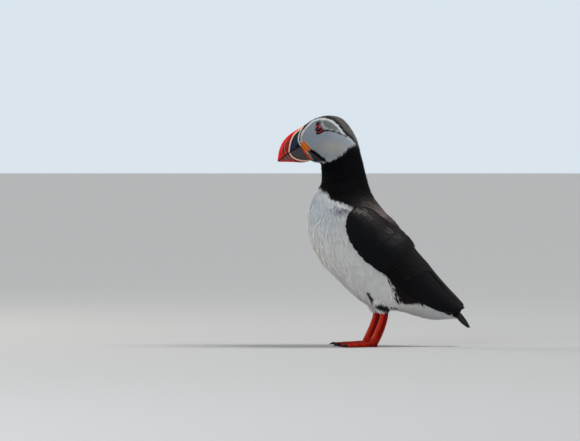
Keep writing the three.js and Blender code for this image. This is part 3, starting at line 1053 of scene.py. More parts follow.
@dataclass(frozen=True)
class Tuft:
    """A small closed feather or lock, one long, one wide and one thick before it is planted.

    Each ring is a place along it, its width there, and how far it stands off.
    """

    name: str
    rings: tuple[tuple[float, float, float], ...]
    ridge: float
    tip_drop: float = 0.03

    def template(self) -> Object:
        """The tuft as an object that the coat's tree plants.

        Returns:
            The object, not linked to the scene.
        """
        points = [(0.0, 0.0, 0.0)]
        for y, width, rise in self.rings:
            points += [(-width / 2, y, rise), (0, y, rise + self.ridge * width), (width / 2, y, rise)]
        points = np.array([*points, (0.0, 1.0, self.rings[-1][2] - self.tip_drop)])
        last, tip = len(points) - 4, len(points) - 1
        faces = [(0, 1, 2), (0, 2, 3), (0, 3, 1)]
        faces += [(a + i, a + 3 + i, a + 3 + j, a + j)
                  for a in range(1, last, 3) for i, j in ((0, 1), (1, 2), (2, 0))]
        faces += [(last, tip, last + 1), (last + 1, tip, last + 2), (last + 2, tip, last)]
        patch = np.column_stack([np.sign(points[:, 0]) / 2, points[:, 1] - 0.5, np.zeros(len(points))])
        shape = Shape(points, faces, {"along": points[:, 1], "patch": patch})
        return bpy.data.objects.new(self.name, shape.mesh(self.name, 1.0))


LOCK = Tuft("lock", ((0.3, 0.9, 0.03), (0.68, 0.8, 0.02)), 0.16)
SOFT = Tuft("soft_feather", ((0.3, 0.9, 0.02), (0.7, 0.8, 0.01)), 0.05)
SCALE = Tuft(
    "scale_feather", ((0.12, 0.45, 0.0), (0.4, 0.85, 0.01), (0.72, 1.0, 0.01), (0.9, 0.72, 0.0)), 0.05)


class PlantingTree(NodeTree):
    """The node tree that plants tufts over an emitter, along the lie that is stored on it."""

    NAME = "plant_tufts"
    INPUTS = (
        ("Tuft", "NodeSocketObject"), ("Finish", "NodeSocketMaterial"), ("Spacing", "NodeSocketFloat"),
        ("Seed", "NodeSocketInt"), ("Wander", "NodeSocketFloat"), ("Size Spread", "NodeSocketFloat"),
        ("Shade Spread", "NodeSocketFloat"), ("Patch", "NodeSocketFloat"))
    CROWDING = 2.6

    def __init__(self) -> None:
        """Builds the tree once for all coats."""
        super().__init__(bpy.data.node_groups.new(self.NAME, "GeometryNodeTree"))
        face = self.tree.interface
        face.new_socket(name="Geometry", in_out="INPUT", socket_type="NodeSocketGeometry")
        for name, kind in self.INPUTS:
            face.new_socket(name=name, in_out="INPUT", socket_type=kind)
        face.new_socket(name="Geometry", in_out="OUTPUT", socket_type="NodeSocketGeometry")
        self.given = self.tree.nodes.new("NodeGroupInput").outputs
        out = self.tree.nodes.new("NodeGroupOutput")
        self.feed(out.inputs["Geometry"], self.baked(self.planted()))

    def stored(self, name: str, kind: str = "FLOAT") -> NodeSocket:
        """A value that is stored on the emitter or the tuft."""
        return self.add("GeometryNodeInputNamedAttribute", data_type=kind, _0=name).outputs[0]

    def about(self, middle: float | NodeSocket, spread: NodeSocket, salt: int) -> NodeSocket:
        """A random number, a spread to either side of a middle.

        Args:
            middle: the mean.
            spread: how far to either side.
            salt: tells one draw from another.

        Returns:
            The number's socket.
        """
        seed = self.math("ADD", self.given["Seed"], float(salt))
        drawn = self.add("FunctionNodeRandomValue", data_type="FLOAT", _2=-1.0, _3=1.0, _8=seed).outputs[1]
        return self.math("MULTIPLY_ADD", drawn, spread, middle)

    def planted(self) -> NodeSocket:
        """Instances of the tuft, spread evenly, laid along the body and sized.

        Returns:
            The instances.
        """
        gap = self.given["Spacing"]
        most = self.math("MULTIPLY", self.math("POWER", gap, -2.0), self.CROWDING)
        spread = self.add("GeometryNodeDistributePointsOnFaces", distribute_method="POISSON",
                          _0=self.given["Geometry"], _2=gap, _3=most, _6=self.given["Seed"])
        laid = self.add("FunctionNodeAlignRotationToVector", axis="Y", _2=self.stored("lie", "FLOAT_VECTOR"))
        stood = self.add("FunctionNodeAlignRotationToVector", axis="Z", pivot_axis="Y", _0=laid.outputs[0],
                         _2=self.stored("outward", "FLOAT_VECTOR"))
        wander = self.given["Wander"]
        turn = self.add("ShaderNodeCombineXYZ", _0=self.about(self.stored("pitch"), wander, 1),
                        _1=self.about(0.0, wander, 2), _2=self.about(0.0, wander, 3))
        turned = self.add("FunctionNodeRotateRotation", rotation_space="LOCAL", _0=stood.outputs[0],
                          _1=self.add("FunctionNodeEulerToRotation", _0=turn.outputs[0]).outputs[0])
        size = self.add("ShaderNodeCombineXYZ", _0=self.stored("width"), _1=self.stored("length"),
                        _2=self.stored("width"))
        grown = self.scaled(size.outputs[0], self.about(1.0, self.given["Size Spread"], 4))
        tuft = self.add("GeometryNodeObjectInfo", _0=self.given["Tuft"])
        laid_out = self.add("GeometryNodeInstanceOnPoints", _0=spread.outputs["Points"],
                            _2=tuft.outputs["Geometry"], _5=turned.outputs[0], _6=grown)
        return self.add("GeometryNodeStoreNamedAttribute", data_type="FLOAT", domain="INSTANCE",
                        _0=laid_out.outputs[0], _2="shade",
                        _3=self.about(1.0, self.given["Shade Spread"], 5)).outputs[0]

    def baked(self, instances: NodeSocket) -> NodeSocket:
        """The instances as plain mesh, each on its own patch of the bake's map.

        Args:
            instances: the tufts.

        Returns:
            The mesh.
        """
        real = self.add("GeometryNodeRealizeInstances", _0=instances)
        patch = self.scaled(self.stored("patch", "FLOAT_VECTOR"), self.given["Patch"])
        place = self.add("ShaderNodeVectorMath", operation="ADD", _0=self.stored("unwrap", "FLOAT_VECTOR"),
                         _1=patch)
        mapped = self.add("GeometryNodeStoreNamedAttribute", data_type="FLOAT2", domain="CORNER",
                          _0=real.outputs[0], _2=BAKE_MAP, _3=place.outputs[0])
        dressed = self.add("GeometryNodeSetMaterial", _0=mapped.outputs[0], _2=self.given["Finish"])
        return dressed.outputs[0]


@dataclass(frozen=True)
class CoatPart:
    """One piece of the coat: which stretch of the body it covers and the size of its tufts.

    The angles are in degrees from the back over the left side. A pair's are those of its left piece.
    """

    name: str
    shares: Pair
    angles: Pair
    spacing: float
    length: Pair
    width: Pair
    tuft: Tuft = LOCK
    wander: float = 0.07
    size_spread: float = 0.2
    shade_spread: float = 0.05
    pair: bool = False
    within: Line = ()
    hang: float = 0.0

    def pieces(self) -> list["CoatPart"]:
        """The pieces to make of the part.

        Returns:
            The part itself, or the left and the right piece of a pair.
        """
        if not self.pair:
            return [self]
        mirrored = (360 - self.angles[1], 360 - self.angles[0])
        return [replace(self, name=f"{self.name}_left"),
                replace(self, name=f"{self.name}_right", angles=mirrored)]


def slice_share(name: str) -> float:
    """The share along the body of a named slice."""
    return [s.at for s in SLICES].index(name) / (len(SLICES) - 1)


FOREHEAD, NAPE, COLLAR, BELLY = (slice_share(name) for name in ("forehead", "nape", "collar", "belly"))
# The edge of the black under the wing, where long dark locks hang over the white.
FLANK = (
    (4, 88), (12.0, 72), (16, 59), (21, 53), (30, 54), (38, 54), (48, 48.5), (60, 43.5), (74, 38), (86, 34),
    (86, 37), (70, 43), (56, 49), (42, 58), (30, 68), (16, 82))
COAT_PARTS = (
    CoatPart("coat_face", (0.004, FOREHEAD), (0, 360), 0.46, (1.7, 2.6), (0.6, 0.75), SOFT, 0.025,
             shade_spread=0.015),
    CoatPart("coat_cheeks", (FOREHEAD, NAPE), (0, 360), 0.52, (2.6, 3.4), (0.8, 0.95), SOFT, 0.03,
             shade_spread=0.015),
    CoatPart("coat_neck", (NAPE, COLLAR), (0, 360), 0.80, (3.8, 7.0), (0.86, 1.15), wander=0.06),
    CoatPart("coat_breast", (COLLAR, BELLY), (62, 180), 0.74, (9.0, 12.5), (1.5, 2.0), SOFT, 0.03,
             shade_spread=0.012, pair=True),
    CoatPart("coat_belly", (BELLY, 1.0), (62, 180), 0.80, (12.5, 9.0), (2.0, 1.3), SOFT, 0.035,
             shade_spread=0.015, pair=True),
    CoatPart("coat_flank", (BELLY - 0.03, slice_share("tail base")), (62, 150), 1.6, (13.5, 9.0), (1.7, 1.5),
             wander=0.12, size_spread=0.3, pair=True, within=FLANK, hang=0.9),
    CoatPart("coat_mantle", (COLLAR - 0.012, slice_share("undertail")), (-64, 64), 1.5, (8.5, 11.0),
             (2.6, 3.8), SCALE, 0.06, 0.15, 0.25))
THIGH_COAT = CoatPart("coat_thigh", (0, 1), (0, 360), 0.85, (7.5, 4.4), (1.05, 1.05), wander=0.10,
                      shade_spread=0.08)


@dataclass
class Coat:
    """The small feathers of head, neck, trunk and thighs.

    Nothing grows on bare skin, nor under a wing, apart from a stretch down the middle.
    """

    form: BodyForm
    markings: Markings
    tree: PlantingTree
    finish: Material
    bare: tuple[Line, ...]
    wing_cover: Line
    row_step: float = 1.3
    column_step: float = 2.2
    body_length: float = 340
    bare_from: float = 5
    covered_from: float = 16
    margin: float = 0.01
    seed: int = 11

    def plant(self, emitter: Shape, part: CoatPart) -> None:
        """Grows tufts over an emitter, as a piece of plain mesh.

        Args:
            emitter: a surface with lie, outward, length, width, pitch, plumage and unwrap values.
            part: the piece's name and the sizes of its tufts.
        """
        tuft = part.tuft.template()
        obj = placed(part.name, emitter.mesh(f"{part.name}_emitter"))
        modifier = obj.modifiers.new("coat", "NODES")
        modifier.node_group = self.tree.tree
        given = {"Tuft": tuft, "Finish": self.finish, "Spacing": part.spacing * MM, "Seed": self.seed,
                 "Wander": part.wander, "Size Spread": part.size_spread, "Shade Spread": part.shade_spread,
                 "Patch": TUFT_PATCH}
        for item in self.tree.tree.interface.items_tree:
            if item.in_out == "INPUT" and item.name in given:
                modifier[item.identifier] = given[item.name]
        mesh = settled(obj, part.name)
        for name in ("lie", "outward", "length", "width", "pitch", "unwrap", "patch"):
            if name in mesh.attributes:
                mesh.attributes.remove(mesh.attributes[name])
        bpy.data.objects.remove(tuft)
        self.seed += 1
        keep(piece(part.name, mesh, self.finish), "plumage")

    def emitter(self, part: CoatPart) -> Shape:
        """The stretch of skin that a part of the coat grows from.

        Args:
            part: the part.

        Returns:
            Its surface with everything that the planting reads.
        """
        low, high = part.shares
        rows = max(8, int((high - low) * self.body_length / self.row_step))
        columns = max(16, int(abs(part.angles[1] - part.angles[0]) / self.column_step))
        share = np.repeat(np.linspace(low, high, rows), columns)
        angle = np.tile(np.radians(np.linspace(*part.angles, columns)), rows)
        grid = self.form.sample(share, angle)
        t = (share - low) / (high - low)
        length = np.interp(t, (0, 1), part.length)
        depth = self.form.coat_depth(share)
        room = 1 - 2 * self.margin
        unwrap = np.stack([self.margin + room * (angle - angle.min()) / np.ptp(angle),
                           self.margin + room * t, np.zeros(len(t))], -1)
        grid.values |= {
            "length": length * MM, "width": np.interp(t, (0, 1), part.width) * MM,
            "pitch": np.arcsin(np.clip(depth / length, 0, 0.5)), "unwrap": unwrap,
            "plumage": self.markings.colour(grid.points)}
        if part.hang:
            out = grid.values["outward"]
            down = grid.values["lie"] - (0, 0, part.hang)
            grid.values["lie"] = unit(down - out * np.sum(down * out, -1, keepdims=True))
        faces = grid_faces(rows, columns)
        middle = grid.points[faces].mean(1)
        grows = self.feathered(middle) if not part.within else inside(part.within, middle[:, 1:])
        grid.faces = faces[grows].tolist()
        return grid

    def feathered(self, points: Array) -> Array:
        """Tells where the coat grows.

        Args:
            points: an array of XYZ points.

        Returns:
            True for each point that it covers.
        """
        flat, off_middle = points[:, 1:], np.abs(points[:, 0])
        grows = ~(inside(self.wing_cover, flat) & (off_middle > self.covered_from))
        for outline in self.bare:
            grows &= ~inside(outline, flat) | (off_middle < self.bare_from)
        return grows

    def build(self) -> None:
        """Makes every piece of the coat but the thighs'."""
        for part in COAT_PARTS:
            for one in part.pieces():
                self.plant(self.emitter(one), one)


# The bill


@dataclass(frozen=True)
class BillForm:
    """The bill's outer face over (share from tip to base, angle round from the ridge)."""

    ridge: Line = (
        (-100, 192.4), (-99.5, 198.2), (-97.8, 205.6), (-94.4, 212.6), (-88.9, 218.8), (-82, 223.8),
        (-74.6, 228.1), (-66.5, 232))
    keel: Line = (
        (-99.6, 192), (-96.8, 191.6), (-92.6, 191.6), (-87.2, 191.5), (-81, 191.2), (-74.6, 190.9),
        (-68.6, 192), (-61.5, 194.5))
    half: tuple[float, ...] = (0.7, 2.2, 3.5, 4.7, 5.7, 6.6, 7.3, 7.8)
    mouth: Line = ((-62, 214.6), (-75, 208), (-87, 201.6), (-94.5, 196), (-101.5, 190.6))

    def point(self, share: Array, angle: Array, grow: float | Array = 0.0) -> Array:
        """Points on the bill, or further out.

        Args:
            share: shares from tip to base.
            angle: angles from the ridge.
            grow: how much further out.

        Returns:
            The points.
        """
        ridge, keel = through(self.ridge, share), through(self.keel, share)
        half = through([(h, 0.0) for h in self.half], share)[..., 0]
        height = np.cos(angle)
        swell = np.abs(np.sin(angle)) ** 0.9 * (1 - 0.22 * height)
        flat = keel + (ridge - keel) * ((1 + height) / 2)[..., None]
        x = np.sign(np.sin(angle)) * (half * swell + grow * np.abs(np.sin(angle)))
        return np.stack([x, flat[..., 0], flat[..., 1] + grow * height], -1)

    def mouth_angle(self, share: Array) -> Array:
        """The angle from the ridge at which the closed mouth's line runs.

        Args:
            share: shares from tip to base.

        Returns:
            One angle for each share.
        """
        line = through(self.mouth, np.linspace(1, 0, 400))
        found = []
        for ridge, keel in zip(through(self.ridge, share), through(self.keel, share)):
            t = np.linspace(0, 1, 300)
            cut = keel + (ridge - keel) * t[:, None]
            below = cut[:, 1] < np.interp(cut[:, 0], line[:, 0], line[:, 1])
            found.append(math.acos(2 * np.clip(below.mean(), 0.02, 0.98) - 1))
        return np.array(found)

    def share_on(self, line: Sequence[Pair], angle: Array) -> Array:
        """How far along the bill its face meets a side-view line, at each angle.

        Args:
            line: the line, its y as a function of z.
            angle: the angles.

        Returns:
            The shares.
        """
        curve = np.array(sorted(line, key=lambda p: p[1]))
        share = np.linspace(0, 1, 300)
        found = []
        for a in angle:
            at = self.point(share, np.full(len(share), a))
            ahead = at[:, 1] - np.interp(at[:, 2], curve[:, 1], curve[:, 0])
            found.append(np.interp(0.0, ahead, share))
        return np.array(found)

    def whole(self) -> Shape:
        """The bill as a plain closed form, for pads to lie on.

        Returns:
            The form.
        """
        rings, sides = 60, 60
        share = np.repeat(np.linspace(0, 1, rings), sides)
        angle = np.tile(turns(sides), rings)
        return Shape.loft(self.point(share, angle).reshape(rings, sides, 3))


@dataclass(frozen=True)
class BillColours:
    """The breeding bill: scarlet in front, slate behind, a pale chevron ridge between them."""

    scarlet: Colour = (0.84, 0.012, 0.008)
    crimson: Colour = (0.36, 0.006, 0.008)
    # worn is a painted shade colour: the brownish dark pink laid over the front of the lower bill.
    worn: Colour = (0.20, 0.075, 0.065)
    slate: Colour = (0.004, 0.017, 0.042)
    slate_low: Colour = (0.062, 0.056, 0.058)
    cream: Colour = (0.82, 0.54, 0.40)
    orange: Colour = (0.90, 0.42, 0.14)
    seam: Colour = (0.028, 0.008, 0.008)
    base_red: Colour = (0.50, 0.030, 0.008)


@dataclass
class Bill:
    """Upper and lower bill, grooved, ridged and closed at the mouth's line."""

    form: BillForm
    finish: Material
    colours: BillColours = BillColours()
    rings: int = 230
    sides: int = 150
    chevron: Line = (
        (-74.0, 227.0), (-77.6, 224.6), (-82.7, 219.9), (-86.2, 213.2), (-87.8, 205.4), (-88.0, 202.0),
        (-86.8, 199.6), (-84.3, 196.6), (-79.5, 194.1), (-73.0, 192.8), (-66.0, 193.2))
    grooves: tuple[Line, ...] = (
        ((-87.6, 220.4), (-89.9, 216.0), (-91.8, 211.8), (-92.7, 205.0), (-91.4, 200.0), (-88.2, 196.4),
         (-84.0, 193.0), (-82.5, 190.0)),
        ((-92.4, 216.0), (-93.9, 211.6), (-95.5, 206.4), (-95.7, 202.0), (-93.9, 197.6), (-91.0, 194.4),
         (-89.5, 190.0)),
        ((-96.2, 210.0), (-97.5, 206.0), (-98.2, 201.4), (-97.2, 197.2), (-95.6, 193.6)))
    groove_strengths: tuple[float, ...] = (1.0, 0.8, 0.3)
    nostril_line: Line = ((-80.4, 207.6), (-76.9, 209.6))
    base_edge: Line = ((-72.3, 202.6), (-65.4, 193.6))
    tip: Pair = (-100, 192.5)
    chevron_half: float = 0.95
    chevron_rise: float = 0.55
    groove_half: float = 0.55
    groove_depth: float = 0.42
    slate_sunk: float = 0.40
    mouth_depth: float = 0.5
    nostril_depth: float = 0.9

    def dressed(self, share: Array, angle: Array) -> tuple[Array, Array]:
        """The bill's points with ridges and grooves, and their colours.

        Args:
            share: shares from tip to base.
            angle: angles from the ridge.

        Returns:
            The points and their RGBA.
        """
        flat = self.form.point(share, angle)[:, 1:]
        side_on = np.abs(np.sin(angle)) ** 0.5
        from_chevron = distance(traced(self.chevron), flat)
        behind = self.behind(flat)
        rise = self.chevron_rise * hill(from_chevron, self.chevron_half)
        rise -= self.slate_sunk * smooth(0.6, 2.4, from_chevron) * behind
        open_side = self.off_ridge(flat)
        for line in self.grooves:
            gap = distance(traced(line, 40), flat)
            rise -= self.groove_depth * hill(gap, self.groove_half) * open_side
            rise += 0.14 * hill(gap - 1.3, 0.7) * open_side
        from_mouth = distance(traced(self.form.mouth), flat)
        rise += 0.22 * hill(from_mouth - 1.0, 0.6)
        rise -= self.mouth_depth * hill(from_mouth, 0.45)
        rise += 0.05 * ripple(np.column_stack([flat, np.zeros(len(flat))]), 3.5, 3)
        points = self.form.point(share, angle, rise * side_on)
        return points, self.colour(points, flat, from_chevron, behind, from_mouth)

    def off_ridge(self, flat: Array) -> Array:
        """0 on the smooth ridge, where the grooves run out, and 1 below it."""
        return smooth(0.7, 2.6, distance(traced(self.form.ridge), flat))

    def behind(self, flat: Array) -> Array:
        """1 where a side-view point lies behind the chevron, else 0."""
        outline = [*map(tuple, traced(self.chevron)), (-40, 190), (-40, 240)]
        return inside(outline, flat).astype(float)

    def colour(self, points: Array, flat: Array, from_chevron: Array, behind: Array,
               from_mouth: Array) -> Array:
        """The horn's colour.

        Args:
            points: the bill's points.
            flat: the same in side view, before ridges.
            from_chevron: distance to the chevron.
            behind: 1 behind the chevron.
            from_mouth: distance to the mouth's line.

        Returns:
            RGBA rows.
        """
        tones = self.colours
        low = smooth(0.4, -0.4, flat[:, 1] - np.interp(flat[:, 0], *np.array(self.form.mouth[::-1]).T))
        to_ridge = distance(traced(self.form.ridge), flat)
        to_keel = distance(traced(self.form.keel), flat)
        red = layered(
            tones.crimson,
            # Brighter scarlet along the ridge: partly the bill's own red, partly a painted highlight where
            # light falls on the ridge.
            (tones.scarlet, smooth(5.2, 1.6, to_ridge + 1.2 * ripple(points, 6, 8))),
            (tones.scarlet, 0.45 * smooth(0.0, 1.0, ripple(points, 4, 2))),
            # Painted shade: the front of the lower bill darkened to brownish pink.
            (tones.worn, 0.9 * low * smooth(-84, -89, flat[:, 0]) * smooth(0.9, 1.8, to_keel)),
            (tones.scarlet, low * smooth(1.8, 0.8, to_keel)))
        open_side = self.off_ridge(flat)
        for line, strength in zip(self.grooves, self.groove_strengths):
            gap = distance(traced(line, 40), flat)
            strength = strength * open_side
            red = layered(red, (tones.seam, 0.5 * strength * hill(gap - 0.85, 0.6)),
                          (tones.cream, 0.34 * strength * hill(gap, 0.34)))
        red = layered(red, (tones.seam, 0.75 * hill(from_chevron - 1.7, 0.85) * open_side),
                      (tones.orange, smooth(-79, -74.5, flat[:, 0]) * smooth(4.0, 2.0, to_ridge)))
        slate = layered(tones.slate, (tones.slate_low, low),
                        (tones.seam, 0.5 * hill(from_chevron - 1.5, 0.5)),
                        (tones.base_red, low * smooth(1.1, 0.5, distance(self.base_edge, flat))))
        tip = np.linalg.norm(flat - self.tip, axis=1)
        return opaque(layered(red, (slate, behind), (tones.cream, np.exp(-(from_chevron / 0.72) ** 4)),
                              (tones.seam, 0.85 * hill(from_mouth, 0.75)),
                              (tones.seam, 0.75 * smooth(2.6, 1.0, tip))))

    def half(self, start: Array, stop: Array) -> Shape:
        """One mandible: the bill's face between two angles, closed by a flat at the mouth.

        Args:
            start: the angle where each ring starts.
            stop: the angle where it stops.

        Returns:
            The mandible.
        """
        share = np.linspace(0, 1, self.rings)
        w = np.linspace(0, 1, self.sides)
        angle = start[:, None] + (stop - start)[:, None] * w
        shares = np.repeat(share, self.sides)
        points, tint = self.dressed(shares, angle.ravel())
        shape = Shape.loft(points.reshape(self.rings, self.sides, 3))
        rows = tint.reshape(self.rings, self.sides, 4)
        shape.values = {"tint": np.vstack([tint, rows[0].mean(0), rows[-1].mean(0)])}
        return shape

    def nostril(self, shape: Shape) -> Shape:
        """Sinks a nostril slit into each side, low on the slate behind the chevron, and darkens it with
        painted shade.

        Args:
            shape: the upper bill, which is changed.

        Returns:
            The upper bill.
        """
        depth = hill(distance(self.nostril_line, shape.points[:, 1:]), 0.5)
        shape.points[:, 0] -= np.sign(shape.points[:, 0]) * self.nostril_depth * depth
        # Painted shade: the slit's colour is darkened.
        shape.values["tint"][:, :3] *= (1 - 0.8 * depth)[:, None]
        return shape

    def build(self) -> None:
        """Makes both halves of the bill."""
        mouth = self.form.mouth_angle(np.linspace(0, 1, self.rings))
        upper = self.nostril(self.half(-mouth, mouth))
        lower = self.half(mouth, math.tau - mouth)
        for name, shape in (("upper", upper), ("lower", lower)):
            keep(piece(f"bill_{name}_horn", shape, self.finish), "bill_horn", f"bill_{name}")


@dataclass
class Cere:
    """The pale pitted band of skin across the base of the upper bill."""

    form: BillForm
    finish: Material
    front: Line = (
        (-72.6, 230.0), (-76.5, 224.2), (-78.7, 219.2), (-79.2, 214.3), (-77.8, 210.2), (-75.6, 206.8))
    back: Line = (
        (-69.8, 231.4), (-73.9, 224.6), (-76.0, 219.2), (-76.7, 214.2), (-75.6, 210.6), (-73.9, 207.6))
    puff: float = 0.6
    root: float = 1.6
    columns: int = 150
    rows: int = 14
    cream: Colour = (0.70, 0.62, 0.50)
    groove: Colour = (0.085, 0.045, 0.025)

    def shape(self) -> Shape:
        """The band as a closed form, from the right gape over the ridge to the left one.

        Returns:
            The form with its tint.
        """
        end = 0.97 * float(self.form.mouth_angle(np.array([0.76]))[0])
        angle = np.linspace(-end, end, self.columns)
        first = self.form.share_on(self.front, np.abs(angle))
        last = self.form.share_on(self.back, np.abs(angle))
        w = np.linspace(0, 1, self.rows)
        over = self.puff * np.sin(math.pi * w) ** 0.6
        under = np.full(self.rows, -self.root)
        w_ring, grow = np.concatenate([w, w[::-1]]), np.concatenate([over, under])
        share = first[:, None] + (last - first)[:, None] * w_ring
        turned = np.repeat(angle[:, None], len(w_ring), 1)
        points = self.form.point(share, turned, np.broadcast_to(grow, share.shape))
        shape = Shape.loft(points)
        pits = ripple(shape.points, 1.1, 21)
        rear = np.append(np.tile(w_ring, self.columns), (0.5, 0.5))
        tint = blend(self.cream, self.groove, smooth(0.48, 0.66, rear))
        return shape.tinted(tint * (1 - 0.22 * smooth(0.35, 1.0, pits))[:, None])

    def build(self) -> None:
        """Makes the cere."""
        keep(piece("cere_band", self.shape(), self.finish), "cere_skin", "cere")


@dataclass(frozen=True)
class Pad:
    """A small cushion of bare skin or horn on the side of the head, drawn by its side-view outline."""

    name: str
    outline: Line
    proud: float
    root: float
    colour: Colour
    # The colour painted into the troughs of the folds, as painted shade.
    crease: Colour
    folds: float = 0.0
    fold_depth: float = 0.0
    fold_across: Pair = (0.7, 0.7)
    rings: int = 18
    sides: int = 72
    beyond: float = 80.0
    fallback: float = 6.0

    def shape(self, ground: BVHTree) -> Shape:
        """The pad on the left side of a ground.

        Args:
            ground: what it lies on, in millimetres.

        Returns:
            The pad with its tint.
        """
        closed = [*self.outline, self.outline[0]]
        edge = through(closed, np.linspace(0, 1, self.sides, endpoint=False))
        centre = edge.mean(0)
        out = np.linspace(0.04, 1, self.rings)
        flat = centre + (edge - centre) * out[:, None, None]
        across = (flat - centre) @ np.array(self.fold_across)
        wave = np.cos(math.tau * self.folds * across)
        levels = self.proud * (1 - out[:, None] ** 2.6) * (1 + self.fold_depth * (wave - 1) / 2)
        top = self.raised(flat, levels, ground)
        bottom = self.raised(flat[::-1], np.full((self.rings, 1), -self.root), ground)
        shape = Shape.loft(np.concatenate([top, bottom]))
        # Painted shade: the troughs of the folds take the darker colour.
        fold = (1 - wave) / 2 * (self.folds > 0)
        share = np.concatenate([fold.ravel(), fold[::-1].ravel(), (0, 0)])
        return shape.tinted(blend(self.colour, self.crease, 0.8 * share))

    @classmethod
    def raised(cls, flat: Array, level: Array, ground: BVHTree) -> Array:
        """Side-view points lifted onto the ground's left side, and over it.

        Args:
            flat: a grid of (y, z) points.
            level: how far over the ground, for each row or point.
            ground: what they lie on.

        Returns:
            A grid of XYZ points.
        """
        x = np.empty(flat.shape[:2])
        for index in np.ndindex(x.shape):
            y, z = flat[index]
            hit = ground.ray_cast(Vector((cls.beyond, y, z)), Vector((-1, 0, 0)))[0]
            x[index] = hit.x if hit else cls.fallback
        return np.dstack([x + level, flat])

    def build(self, ground: BVHTree, finish: Material, slot: str, node: str = "") -> None:
        """Makes the pad on both sides.

        Args:
            ground: what it lies on.
            finish: its finish.
            slot: a material slot's name.
            node: the CAD nodes that the pads stand for, without their side.
        """
        shape = self.shape(ground)
        for side in Side:
            keep_on(side, self.name, shape, finish, slot, node)


ROSETTE = Pad("gape_fold", ((-75.9, 210.6), (-73.7, 212.9), (-71.4, 212.3), (-68.6, 209.4), (-65.8, 205.4),
                            (-66.6, 203.0), (-69.6, 203.2), (-73.1, 205.0), (-75.6, 207.6)),
              1.25, 2.2, (0.80, 0.20, 0.012), (0.30, 0.040, 0.006), 0.36, 0.55, (0.72, 0.69))
GAPE_EDGE = Pad("gape_edge", ((-73.4, 204.8), (-72.2, 203.9), (-68.9, 199.3), (-65.4, 194.6), (-65.6, 193.4),
                              (-66.9, 194.6), (-70.2, 198.9), (-73.2, 203.0)),
                0.6, 1.6, (0.78, 0.065, 0.012), (0.34, 0.02, 0.01))
UPPER_PLATE = Pad("eye_plate_over", ((-60.9, 229.2), (-60.3, 231.6), (-59.2, 233.9), (-57.4, 233.6),
                                     (-56.6, 231.6), (-56.9, 229.4), (-58.9, 228.9)),
                  2.2, 1.2, (0.005, 0.009, 0.015), (0.02, 0.03, 0.04))
LOWER_PLATE = Pad("eye_plate_under", ((-61.3, 222.4), (-60.3, 219.7), (-57.6, 219.9), (-54.2, 221.1),
                                      (-51.6, 223.0), (-53.2, 223.4), (-56.4, 222.3), (-59.0, 221.9)),
                  2.2, 1.2, (0.005, 0.009, 0.015), (0.02, 0.03, 0.04))


# The eyes


@dataclass
class Eyes:
    """Eyeballs set in their sockets, each with a red orbital ring of bare skin round it."""

    ground: BVHTree
    wet: Material
    skin: Material
    radius: float = 3.3
    sunk: float = 0.5
    iris: float = 2.75
    pupil: float = 1.55
    rows: int = 40
    sides: int = 56
    ring_inner: float = 2.8
    ring_outer: float = 3.65
    ring_sides: int = 80
    ring_steps: int = 18
    corners: Pair = (0.03, 0.13)
    corner_at: float = -22.0
    raised: float = 0.95
    thick: float = 0.55
    beads: int = 26
    dark: Colour = (0.002, 0.0018, 0.0018)
    brown: Colour = (0.010, 0.005, 0.004)
    red: Colour = (0.56, 0.008, 0.008)
    red_deep: Colour = (0.26, 0.004, 0.006)

    def ball(self, centre: Array) -> Shape:
        """The left eyeball.

        Args:
            centre: its middle.

        Returns:
            The ball with its iris and pupil.
        """
        polar = np.linspace(0.02, math.pi - 0.02, self.rows)
        round_ = turns(self.sides)
        off = np.sin(polar)[:, None]
        bulge = 0.22 * hill(np.sin(polar) * self.radius, 2.2) * (polar < math.pi / 2)
        x = (np.cos(polar) * self.radius + bulge)[:, None] + 0 * round_
        rings = np.stack([x, off * self.radius * np.cos(round_), off * self.radius * np.sin(round_)], -1)
        shape = Shape.loft(rings + centre)
        from_axis = np.linalg.norm(shape.points[:, 1:] - centre[1:], axis=1)
        iris = smooth(self.pupil - 0.1, self.pupil + 0.25, from_axis) * smooth(
            self.iris + 0.3, self.iris - 0.1, from_axis)
        return shape.tinted(blend(self.dark, self.brown, iris))

    def ring(self, centre: Array) -> Shape:
        """The left orbital ring: slightly angular, from the ball's surface out to the skin.

        Args:
            centre: the ball's middle.

        Returns:
            The ring with its tint.
        """
        round_ = turns(self.ring_sides)
        corner = np.cos(3 * (round_ - math.radians(self.corner_at)))
        turn = np.linspace(0, math.tau, self.ring_steps, endpoint=False)
        share = (1 + np.cos(turn)) / 2
        rings = []
        for angle, stretch in zip(round_, corner):
            near = self.ring_inner * (1 + self.corners[0] * stretch)
            far = self.ring_outer * (1 + self.corners[1] * stretch)
            out = near + (far - near) * share
            y, z = centre[1] + math.cos(angle) * out, centre[2] + math.sin(angle) * out
            on_ball = centre[0] + (self.radius ** 2 - near ** 2) ** 0.5
            rim = Pad.raised(np.array([[(y[0], z[0])]]), np.zeros((1, 1)), self.ground)[0, 0, 0]
            base = on_ball * (1 - share) + (rim + self.raised) * share
            rings.append(np.stack([base + self.thick * np.sin(turn) + 0.15, y, z], -1))
        rings = np.array(rings)
        count, steps = rings.shape[:2]
        last = (count - 1) * steps
        seam = [[last + k, last + (k + 1) % steps, (k + 1) % steps, k] for k in range(steps)]
        loop = np.vstack([grid_faces(count, steps, closed=True), seam])
        shape = Shape(rings.reshape(-1, 3), loop.tolist()).outwards()
        beads = 0.5 + 0.5 * np.cos(np.repeat(round_, steps) * self.beads)
        shape.points[:, 0] += 0.07 * beads
        return shape.tinted(blend(self.red_deep, self.red, 0.35 + 0.65 * beads))

    def build(self) -> None:
        """Makes both eyes in the places that the CAD gives them."""
        low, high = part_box("eye_left")
        centre = np.array([high.x / MM - self.radius - self.sunk, (low.y + high.y) / 2 / MM,
                           (low.z + high.z) / 2 / MM])
        ball, ring = self.ball(centre), self.ring(centre)
        for side in Side:
            keep_on(side, "eyeball", ball, self.wet, "eye", "eye")
            keep_on(side, "orbital_ring", ring, self.skin, "eye_plate")


# Wings and tail


